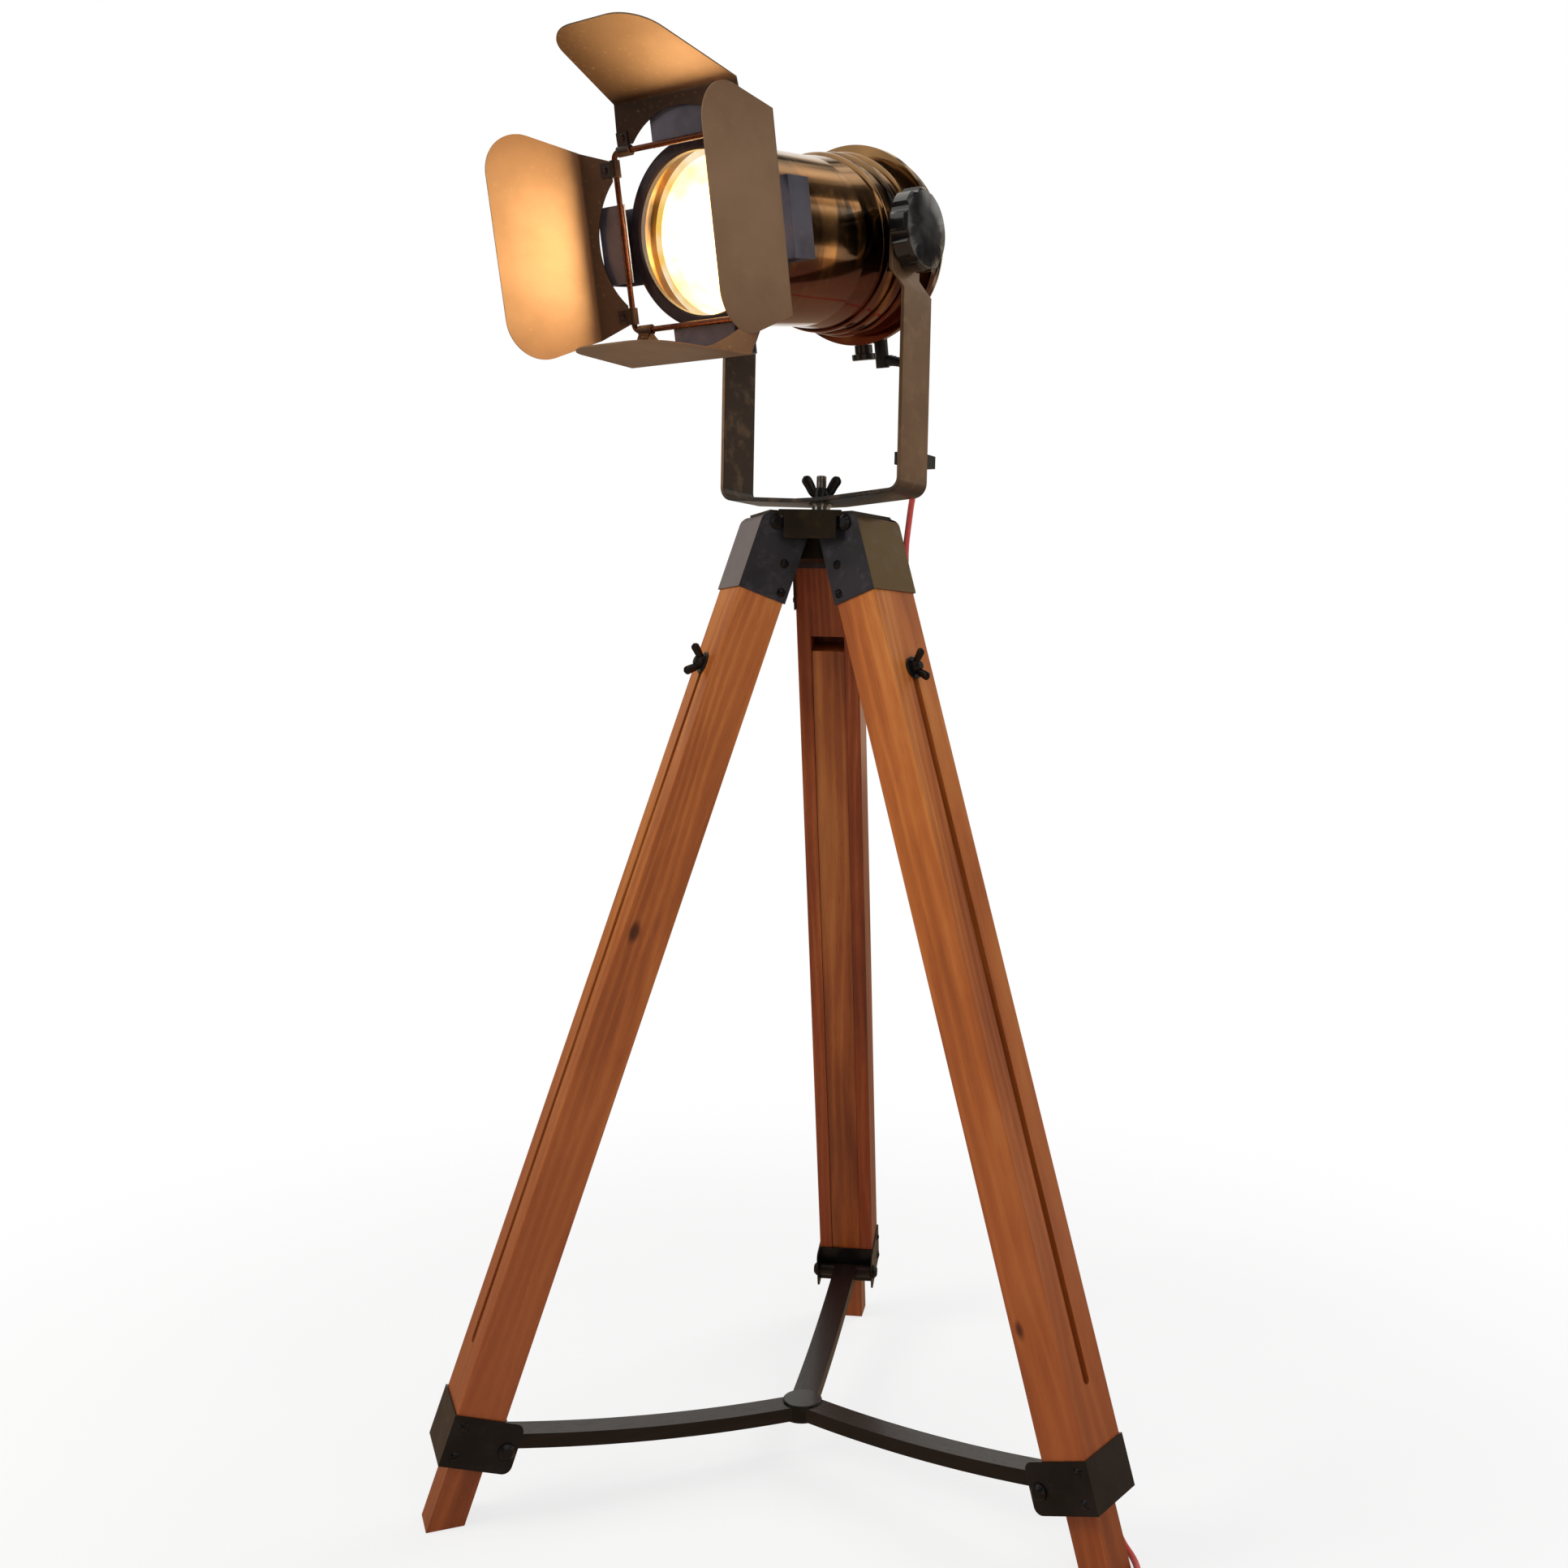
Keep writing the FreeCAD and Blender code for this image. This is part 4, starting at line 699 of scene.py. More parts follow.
@dataclass(frozen=True)
class LeafPaint(Look):
    """Brown bronze of a leaf, with painted shade on the flange, at the blade's far edges and on the side away
    from the right leg.

    Attributes:
        place: Frame of the leaf: X along the wire, Z away from it.
        shade: Strength of the painted shade on the side away from the right leg.
        fold: Distance of the fold from the wire.
    """

    place: Matrix
    shade: float = 0.0
    fold: float = 0.038

    def sockets(self, recipe: Recipe) -> Sockets:
        """Works out the paint.

        Args:
            recipe: Tree that the nodes go into.

        Returns:
            What each socket of the shader is fed with.
        """
        local = recipe.local(self.place)
        along, depth, away = recipe.parts(local)
        flat = recipe.coordinates("Normal").towards(self.place.to_3x3() @ Vector((0, 1, 0)))
        cloud = recipe.noise(local, 15.0, 3, 0.6)
        skin = recipe.noise(local, 900.0, 2)
        speck = recipe.noise(local, 260.0, 3, 0.6).between(0.58, 0.75)
        colour = recipe.mix(cloud.between(0.3, 0.7) * 0.6, tint("8e6f53"), tint("7b5e44"))
        # painted shade on the flange
        flange = 1 - (away + cloud * 0.004).between(self.fold - 0.001, self.fold + 0.004)
        colour = recipe.mix(flange * 0.85, colour, tint("2c2019"))
        # painted shade at the blade's far edges
        edge = along.single("ABSOLUTE").between(0.03, 0.12)
        colour = recipe.mix(edge * (1 - depth.between(-0.01, 0.03)) * 0.5, colour, tint("5f3a1f"))
        # painted shade on the side away from the right leg
        colour = recipe.mix((1 - along.between(-0.06, 0.08)) * self.shade, colour, tint("24150b"))
        colour = recipe.mix(speck * 0.18, colour, tint("a5835d"))
        rough = 0.4 + cloud * 0.12 + skin * 0.05 - flat * flat * 0.04
        return {
            "Base Color": colour, "Metallic": 0.3, "Roughness": rough,
            "Normal": recipe.bump(skin, 0.00003, 0.6), "Specular IOR Level": 0.35}


@dataclass(frozen=True)
class BareMetal(Look):
    """Bright metal with fine turning marks and a faint tarnish.

    Attributes:
        body: Screen colour of the metal.
        tarnish: Screen colour of dull places.
        roughness: Mean roughness.
    """

    body: str
    tarnish: str
    roughness: float = 0.22

    def sockets(self, recipe: Recipe) -> Sockets:
        """Works out the metal.

        Args:
            recipe: Tree that the nodes go into.

        Returns:
            What each socket of the shader is fed with.
        """
        where = recipe.coordinates()
        dull = recipe.noise(where, 90.0, 4, 0.6).between(0.45, 0.75)
        marks = recipe.noise(where * (1, 1, 14), 420.0, 2)
        colour = recipe.mix(dull * 0.7, tint(self.body), tint(self.tarnish))
        return {
            "Base Color": colour, "Metallic": 1.0, "Normal": recipe.bump(marks, 0.00001, 0.5),
            "Roughness": self.roughness + dull * 0.16 + marks * 0.06}


@dataclass(frozen=True)
class Moulding(Look):
    """Moulded plastic with a fine eroded skin.

    Attributes:
        body: Screen colour of the plastic.
        roughness: Mean roughness.
        coat: Weight of the glossy skin.
        grain: Number of grains of the skin per metre.
        grit: Height of the skin, in metres.
    """

    body: str
    roughness: float = 0.3
    coat: float = 0.3
    grain: float = 1500.0
    grit: float = 0.00002

    def sockets(self, recipe: Recipe) -> Sockets:
        """Works out the plastic.

        Args:
            recipe: Tree that the nodes go into.

        Returns:
            What each socket of the shader is fed with.
        """
        where = recipe.coordinates()
        skin = recipe.noise(where, self.grain, 2)
        smear = recipe.noise(where, 40.0, 3, 0.6).between(0.4, 0.7)
        dust = recipe.noise(where, self.grain * 0.6, 1).between(0.66, 0.76)
        base = tint(self.body)
        pale = tuple(min(1.0, part * 1.5 + 0.012) for part in base[:3]) + (1.0,)
        colour = recipe.mix(smear * 0.5 + dust * 0.4, base, pale)
        return {
            "Base Color": colour, "Roughness": self.roughness + smear * 0.12 + skin * 0.05,
            "Normal": recipe.bump(skin, self.grit, 0.6), "Coat Weight": self.coat,
            "Coat Roughness": 0.1}


@dataclass(frozen=True)
class Braid(Look):
    """Woven textile sleeve of the lead, its strands crossing at a slant, with painted shade between them.

    Attributes:
        body: Screen colour of the yarn.
        shade: Screen colour of the painted shade between the strands.
        strands: Strands of each direction round the lead.
        lay: Length along the lead in which a strand goes round once.
    """

    body: str
    shade: str
    strands: int = 8
    lay: float = 0.021

    def sockets(self, recipe: Recipe) -> Sockets:
        """Works out the weave.

        Args:
            recipe: Tree that the nodes go into.

        Returns:
            What each socket of the shader is fed with.
        """
        around, along, _ = recipe.parts(recipe.coordinates("UV"))
        turns = around * self.strands
        steps = along * (self.strands / self.lay)
        first = (turns + steps).sine()
        second = (turns - steps).sine()
        over = (first - second).between(-0.5, 0.5)
        height = first.larger(second).single("SQRT")
        yarn = recipe.noise(recipe.coordinates("UV") * (60, 2600, 1), 1.0, 2)
        wear = recipe.noise(recipe.coordinates(), 30.0, 3).between(0.35, 0.7)
        base, strand_gap_shade = tint(self.body), tint(self.shade)
        pale = tuple(min(1.0, part * 1.25 + 0.03) for part in base[:3]) + (1.0,)
        colour = recipe.mix(over * 0.35 + wear * 0.25, base, pale)
        # painted shade between the strands
        colour = recipe.mix((height * 0.8 + yarn * 0.35).between(0.1, 0.75), strand_gap_shade, colour)
        return {
            "Base Color": colour, "Roughness": 0.72 + yarn * 0.15,
            "Normal": recipe.bump(height + yarn * 0.25, 0.00035, 0.9), "Sheen Weight": 0.35}


@dataclass(frozen=True)
class Glow(Look):
    """Glowing surface of the bulb, whose light is the lamp's own, and of the mirror behind it, whose glow is
    painted light.

    Attributes:
        core: Screen colour of its brightest places.
        edge: Screen colour of its less bright ones.
        strength: Strength of its light.
        metallic: How much of it mirrors.
        facets: Number of facets per metre.
        roughness: Mean roughness.
    """

    core: str
    edge: str
    strength: float
    metallic: float
    facets: float
    roughness: float

    def sockets(self, recipe: Recipe) -> Sockets:
        """Works out the lit surface.

        Args:
            recipe: Tree that the nodes go into.

        Returns:
            What each socket of the shader is fed with.
        """
        where = recipe.coordinates()
        facet = recipe.node("ShaderNodeTexVoronoi", {"feature": "SMOOTH_F1"},
                            {"Vector": where, "Scale": self.facets, "Smoothness": 0.4}, "Distance")
        veil = recipe.noise(where, 13.0, 3, 0.6).between(0.38, 0.66)
        share = veil * 0.75 + facet * 0.35
        light = recipe.mix(share, tint(self.core), tint(self.edge))
        return {
            "Base Color": recipe.mix(share, tint("fff6e4"), tint("f3dca6")), "Metallic": self.metallic,
            "Roughness": self.roughness + veil * 0.08, "Normal": recipe.bump(facet, 0.0006, 0.5),
            "Emission Color": light, "Emission Strength": self.strength}


class Finish(Enum):
    """Finishes that more than one piece shares."""

    COLLAR_STEEL = Lacquer("collar_steel", "231e1e", "151212", "3c3838", 0.45, 0.38, 0.1, rubbed=0.4)
    HUB_IRON = Lacquer("hub_iron", "33291c", "211a13", "5b4a2c", 0.45, 0.42, 0.1, 0.00006, 520.0)
    FIXING_BLACK = Lacquer("fixing_black", "1a181a", "100f10", "4a484a", 0.5, 0.32, 0.2)
    WING_BLACK = Lacquer("wing_black", "151414", "0c0c0c", "3a3838", 0.3, 0.34, 0.25, 0.00007, 480.0)
    YOKE_BRONZE = Strap("yoke_strap_bronze")
    HEAD_BRONZE = Patina("head_patina")
    RING_BRONZE = Lacquer("ring_bronze", "3a3138", "2a2228", "6a5f68", 0.6, 0.34, 0.2)
    CLIP_GREY = Lacquer("clip_grey", "5b5966", "403e48", "9a6e56", 0.5, 0.36, 0.15)
    LUG_BRONZE = Lacquer("lug_bronze", "3a2a22", "241813", "8a6a50", 0.6, 0.32, 0.2)
    WIRE_COPPER = BareMetal("wire_copper", "6e4636", "33221b", 0.24)
    STEEL = BareMetal("polished_steel", "c9c8c6", "8d8b88", 0.2)
    PLATE = BareMetal("matt_plate", "b9b9b7", "8a8988", 0.38)
    BRASS = BareMetal("bulb_brass", "d9bb72", "9a7c3e", 0.25)
    BLACK_PLASTIC = Moulding("gloss_black_plastic", "131213", 0.12, 0.7)
    MATT_PLASTIC = Moulding("matt_black_plastic", "181718", 0.42, 0.1)
    CREAM = Moulding("holder_cream", "e6dfcb", 0.35, 0.3)
    RED_BRAID = Braid("red_braid", "cf4a40", "7c1d1a")
    BULB = Glow("bulb_frost", "fffaf0", "ffeec2", 3.2, 0.0, 30.0, 0.4)
    # the mirror glows with painted light from the bulb
    MIRROR = Glow("mirror_facets", "fff8e0", "f2c460", 0.95, 1.0, 85.0, 0.16)

    @property
    def material(self) -> bpy.types.Material:
        """The material, made when it is first wanted."""
        return bpy.data.materials.get(self.value.name) or self.value.material()


# ---- making pieces ----

def body_of(node: str) -> str:
    """Body on which a solid of the model rides."""
    bodies = frame["record"]["behaviour"]["bodies"]
    return next(body for body, members in bodies.items() if node in members)


def dress(node: str, material: bpy.types.Material) -> None:
    """Gives a solid of the model its material.

    Args:
        node: Name of the solid.
        material: The material.
    """
    item = frame["nodes"][node]
    item.data.materials.clear()
    item.data.materials.append(material)
    log.info("dressed %s in %s", node, material.name)


def placed(name: str, mesh: bpy.types.Mesh, material: bpy.types.Material, node: str | None,
           body: str | None = None, rides: bool = True) -> bpy.types.Object:
    """Puts a mesh in the scene as a piece of the lamp.

    Args:
        name: Name of the piece.
        mesh: Its mesh, in the lamp's frame.
        material: Its material.
        node: The solid that it stands for, or None for an extra piece.
        body: The body that it rides on, or None for that of the solid.
        rides: Whether it rides on a body; a piece that bends between two doesn't.

    Returns:
        The piece.
    """
    mesh.materials.clear()
    mesh.materials.append(material)
    piece = bpy.data.objects.new(name, mesh)
    bpy.context.scene.collection.objects.link(piece)
    if rides:
        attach(piece, body or body_of(node))
    if node:
        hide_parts(node)
    log.info("placed %s", name)
    return piece


WELD = 2e-6                     # points of a solid nearer than this are one
FLAT = math.radians(0.4)        # faces nearer to a plane than this are one
CREASE = math.radians(38)       # edges sharper than this stay creases


def eased(node: str, width: float, material: bpy.types.Material, segments: int = 2) -> bpy.types.Object:
    """Stands in for a solid with the same form and softly broken edges.

    Args:
        node: Name of the solid.
        width: Width of the broken edge.
        material: The material.
        segments: Facets across the edge.

    Returns:
        The piece.
    """
    mesh = bpy.data.meshes.new(node + "_eased")
    form = bmesh.new()
    form.from_mesh(frame["nodes"][node].data)
    bmesh.ops.remove_doubles(form, verts=form.verts, dist=WELD)
    bmesh.ops.dissolve_limit(form, angle_limit=FLAT, verts=form.verts, edges=form.edges)
    form.to_mesh(mesh)
    form.free()
    for attribute in [a for a in mesh.attributes if a.name == "custom_normal"]:
        mesh.attributes.remove(attribute)
    mesh.shade_smooth()
    mesh.set_sharp_from_angle(angle=CREASE)
    piece = placed(node + "_eased", mesh, material, node)
    bevel = piece.modifiers.new("edges", "BEVEL")
    bevel.width = width
    bevel.segments = segments
    bevel.limit_method = "ANGLE"
    bevel.angle_limit = CREASE
    bevel.use_clamp_overlap = True
    bevel.harden_normals = False
    normals = piece.modifiers.new("normals", "WEIGHTED_NORMAL")
    normals.keep_sharp = True
    return piece


def mesh_of(form: bmesh.types.BMesh, name: str, crease: float = CREASE) -> bpy.types.Mesh:
    """Turns a finished form into a smooth mesh with creases.

    Args:
        form: The form, which is freed.
        name: Name of the mesh.
        crease: Angle above which an edge stays sharp.

    Returns:
        The mesh.
    """
    bmesh.ops.recalc_face_normals(form, faces=form.faces)
    mesh = bpy.data.meshes.new(name)
    form.to_mesh(mesh)
    form.free()
    mesh.shade_smooth()
    mesh.set_sharp_from_angle(angle=crease)
    return mesh


def turned(form: bmesh.types.BMesh, outline: Sequence[tuple[float, float]], place: Matrix,
           sides: int = 40) -> None:
    """Adds a body of revolution about the place's Z axis.

    Args:
        form: Where it goes.
        outline: Pairs of radius and height, both ends on the axis.
        place: Its frame.
        sides: Number of sides.
    """
    rings = []
    for radius, height in outline:
        if radius == 0:
            rings.append([form.verts.new(place @ Vector((0, 0, height)))] * sides)
            continue
        rings.append([form.verts.new(place @ Vector((radius * math.cos(TURN * k / sides),
                                                     radius * math.sin(TURN * k / sides), height)))
                      for k in range(sides)])
    for low, high in zip(rings, rings[1:]):
        for k in range(sides):
            corners = [low[k], low[(k + 1) % sides], high[(k + 1) % sides], high[k]]
            unlike = list(dict.fromkeys(corners))
            if len(unlike) > 2:
                form.faces.new(unlike)


def smooth_line(route: Sequence[Vector]) -> list[Vector]:
    """Follows the smooth curve whose control points are a route.

    Args:
        route: The control points.

    Returns:
        Points along the curve.
    """
    curve = bpy.data.curves.new("route", "CURVE")
    curve.dimensions = "3D"
    curve.resolution_u = 8
    spline = curve.splines.new("NURBS")
    spline.points.add(len(route) - 1)
    for point, place in zip(spline.points, route):
        point.co = (*place, 1.0)
    spline.order_u = 3
    spline.use_endpoint_u = True
    item = bpy.data.objects.new("route", curve)
    bpy.context.scene.collection.objects.link(item)
    graph = bpy.context.evaluated_depsgraph_get()
    mesh = bpy.data.meshes.new_from_object(item.evaluated_get(graph))
    line = [vertex.co.copy() for vertex in mesh.vertices]
    bpy.data.objects.remove(item)
    bpy.data.curves.remove(curve)
    bpy.data.meshes.remove(mesh)
    return line


def line_length(line: Sequence[Vector]) -> float:
    """Length of a line of points."""
    return sum((b - a).length for a, b in zip(line, line[1:]))


def tube(form: bmesh.types.BMesh, line: Sequence[Vector],
         radius: Callable[[float], tuple[float, float]], sides: int = 14,
         up: Vector | None = None) -> None:
    """Adds a tube along a line, with coordinates round it and along it in metres.

    Args:
        form: Where it goes.
        line: Points of its middle line.
        radius: Its two half widths at a distance along the line.
        sides: Number of sides.
        up: Direction of its second half width at the start, or None for any.
    """
    layer = form.loops.layers.uv.verify()
    way = (line[1] - line[0]).normalized()
    guide = up or (Vector((0, 0, 1)) if abs(way.z) < 0.9 else Vector((1, 0, 0)))
    side = way.cross(guide).normalized()
    rings, lengths = [], []
    travelled = 0.0
    for index, middle in enumerate(line):
        before = line[max(index - 1, 0)]
        after = line[min(index + 1, len(line) - 1)]
        new_way = (after - before).normalized()
        side = (way.rotation_difference(new_way) @ side).normalized()
        side = (side - new_way * side.dot(new_way)).normalized()
        way = new_way
        over = side.cross(way)
        travelled += (middle - before).length if index else 0.0
        half, rise = radius(travelled)
        rings.append([form.verts.new(middle + side * half * math.cos(TURN * k / sides)
                                     + over * rise * math.sin(TURN * k / sides)) for k in range(sides)])
        lengths.append(travelled)
    for index, (low, high) in enumerate(zip(rings, rings[1:])):
        for k in range(sides):
            follow = (k + 1) % sides
            face = form.faces.new([low[k], low[follow], high[follow], high[k]])
            places = ((k, index), (k + 1, index), (k + 1, index + 1), (k, index + 1))
            for loop, (around, step) in zip(face.loops, places):
                loop[layer].uv = (around / sides, lengths[step])
    form.faces.new(rings[0][::-1])
    form.faces.new(rings[-1])


# ---- camera and studio ----

@dataclass(frozen=True)
class PhotoCamera:
    """Camera at the photograph's place.

    Attributes:
        place: Where it stands.
        yaw: Turn to the left of +Y, in degrees.
        pitch: Angle above the horizon, in degrees.
        roll: Turn about its own axis, in degrees.
        lens: Focal length on a sensor 36 wide.
        shift: Shift of the frame across and up.
    """

    place: Point = (0.8503, -1.2405, 0.778)
    yaw: float = 30.4947
    pitch: float = -3.4097
    roll: float = 1.4292
    lens: float = 34.58
    shift: tuple[float, float] = (-0.0859, -0.0014)

    def build(self) -> None:
        """Makes the scene's camera."""
        data = bpy.data.cameras.new("camera")
        camera = bpy.data.objects.new("camera", data)
        bpy.context.scene.collection.objects.link(camera)
        bpy.context.scene.camera = camera
        data.sensor_width = 36.0
        data.lens = self.lens
        data.shift_x, data.shift_y = self.shift
        yaw, pitch, roll = (math.radians(angle) for angle in (self.yaw, self.pitch, self.roll))
        forward = Vector((-math.sin(yaw) * math.cos(pitch), math.cos(yaw) * math.cos(pitch),
                          math.sin(pitch)))
        level = Vector((math.cos(yaw), math.sin(yaw), 0))
        upright = level.cross(forward)
        right = level * math.cos(roll) + upright * math.sin(roll)
        up = upright * math.cos(roll) - level * math.sin(roll)
        turn = Matrix((right, up, -forward)).transposed()
        camera.matrix_world = Matrix.Translation(self.place) @ turn.to_4x4()
        log.info("camera at %s", self.place)


class Studio:
    """Pale floor, white surroundings and soft lights."""

    FLOOR_HALF = 12.0
    FLOOR_DEPTH = 0.0003
    AIM = Vector((0, 0, 0.75))
    BEAM_START = 0.199
    LAMPS = (("key", (-1.9, -2.3, 2.4), 1.6, 58.0, (1.0, 0.97, 0.93)),
             ("fill", (2.6, -1.5, 1.5), 1.8, 22.0, (1.0, 0.98, 0.96)),
             ("rim", (0.6, 2.4, 2.2), 1.6, 30.0, (1.0, 0.99, 0.97)))

    def build(self) -> None:
        """Makes the studio."""
        self.floor()
        self.world()
        for lamp in self.LAMPS:
            self.lamp(*lamp)
        self.beam()
        bpy.context.scene.view_settings.view_transform = "Standard"

    def floor(self) -> None:
        """Floor that keeps the lamp's shadow and fades into the white surroundings."""
        half, depth = self.FLOOR_HALF, self.FLOOR_DEPTH
        mesh = bpy.data.meshes.new("floor")
        corners = [(-half, -half, -depth), (half, -half, -depth), (half, half, -depth),
                   (-half, half, -depth)]
        mesh.from_pydata(corners, [], [(0, 1, 2, 3)])
        item = bpy.data.objects.new("floor", mesh)
        bpy.context.scene.collection.objects.link(item)
        material = bpy.data.materials.new("studio_floor")
        material.use_nodes = True
        bench = Bench(material.node_tree)
        where = bench.coordinates()
        mottle = bench.noise(where, 260.0, 3)
        colour = bench.mix(mottle, (0.83, 0.83, 0.83, 1), (0.87, 0.87, 0.87, 1))
        lit = bench.node("ShaderNodeBsdfDiffuse", None, {"Color": colour})
        glow = bench.node("ShaderNodeEmission", None, {"Color": (1, 1, 1, 1), "Strength": 1.0})
        warm = bench.node("ShaderNodeEmission", None, {"Color": (0.3, 0.2, 0.125, 1), "Strength": 1.0})
        camera, glossy, through = self.rays(bench)
        share = camera.larger(through) * (0.74 + where.length().between(0.5, 1.4) * 0.26)
        base = bench.blend(glossy, lit, warm)
        bench.node("ShaderNodeOutputMaterial", None, {"Surface": bench.blend(share, base, glow)})
        mesh.materials.append(material)

    @staticmethod
    def rays(bench: Bench) -> tuple[Flow, Flow, Flow]:
        """Tells which kind of ray looks.

        Args:
            bench: Tree that the node goes into.

        Returns:
            Whether it is the camera's, a reflection's or a refraction's, as three values.
        """
        camera = bench.node("ShaderNodeLightPath", output="Is Camera Ray")
        outputs = camera.socket.node.outputs
        glossy, through = (Flow(bench, outputs[name])
                           for name in ("Is Glossy Ray", "Is Transmission Ray"))
        return camera, glossy, through

    def world(self) -> None:
        """White surroundings that light the lamp at a plain level."""
        world = bpy.data.worlds.new("surroundings")
        world.use_nodes = True
        bpy.context.scene.world = world
        bench = Bench(world.node_tree)
        shown = bench.node("ShaderNodeBackground", None, {"Color": (1, 1, 1, 1), "Strength": 1.0})
        lighting = bench.node("ShaderNodeBackground", None,
                              {"Color": (0.97, 0.98, 1, 1), "Strength": 0.42})
        mirrored = bench.node("ShaderNodeBackground", None,
                              {"Color": self.reflected(bench), "Strength": 1.0})
        camera, glossy, through = self.rays(bench)
        base = bench.blend(glossy, lighting, mirrored)
        bench.node("ShaderNodeOutputWorld", None,
                   {"Surface": bench.blend(camera.larger(through), base, shown)})

    @staticmethod
    def reflected(bench: Bench) -> Flow:
        """Room that shiny pieces mirror: dark, with bright panels and a warm low band.

        Args:
            bench: Tree that the nodes go into.

        Returns:
            Its colour in the direction of a ray.
        """
        way = bench.coordinates("Generated")
        east, north, height = bench.parts(way)
        panel = east.between(-0.75, -0.6) * (1 - east.between(-0.45, -0.3))
        panel = panel * height.between(-0.15, 0.05)
        strip = east.between(0.62, 0.7) * (1 - east.between(0.78, 0.86)) * height.between(-0.5, -0.2)
        top = height.between(0.72, 0.86)
        band = height.between(-0.5, -0.25) * (1 - height.between(-0.2, 0.0))
        shapes = bench.noise(way * (2.6, 2.6, 4.5), 1.0, 3, 0.55).between(0.47, 0.56)
        shelf = height.between(0.28, 0.34) * (1 - height.between(0.5, 0.56)) * north.between(0.1, 0.4)
        shelf = shelf * east.between(0.08, 0.16) * (1 - east.between(0.42, 0.5))
        colour = bench.mix(band * 0.6, (0.03, 0.026, 0.024, 1), (0.6, 0.36, 0.18, 1))
        colour = bench.mix(shapes * north.between(-0.1, 0.4), colour, (0.95, 0.78, 0.56, 1))
        light = panel.larger(strip * 0.8).larger(top * 0.7).larger(shelf)
        return bench.mix(light, colour, (1, 0.96, 0.9, 1))

    def lamp(self, name: str, place: Point, size: float, power: float, colour: Point) -> None:
        """Adds a soft square light that looks at the lamp.

        Args:
            name: Its name.
            place: Where it hangs.
            size: Its side.
            power: Its power in watts.
            colour: Its colour.
        """
        data = bpy.data.lights.new(name, "AREA")
        data.size = size
        data.energy = power
        data.color = colour
        item = bpy.data.objects.new(name, data)
        bpy.context.scene.collection.objects.link(item)
        item.location = place
        item.rotation_mode = "QUATERNION"
        item.rotation_quaternion = (self.AIM - Vector(place)).to_track_quat("-Z", "Y")
        item.visible_glossy = False

    def beam(self) -> None:
        """Warm light that leaves the spotlight's opening and gilds the leaves."""
        data = bpy.data.lights.new("beam", "AREA")
        data.shape = "DISK"
        data.size = 0.12
        data.energy = 3.6
        data.color = (1.0, 0.79, 0.46)
        item = bpy.data.objects.new("beam", data)
        bpy.context.scene.collection.objects.link(item)
        item.matrix_world = (LAYOUT.head() @ Matrix.Translation((0, -self.BEAM_START, 0))
                             @ Matrix.Rotation(-math.pi / 2, 4, "X"))
        item.visible_camera = False
        item.visible_glossy = False
        item.parent = frame["bodies"]["head"]


# ---- lead ----

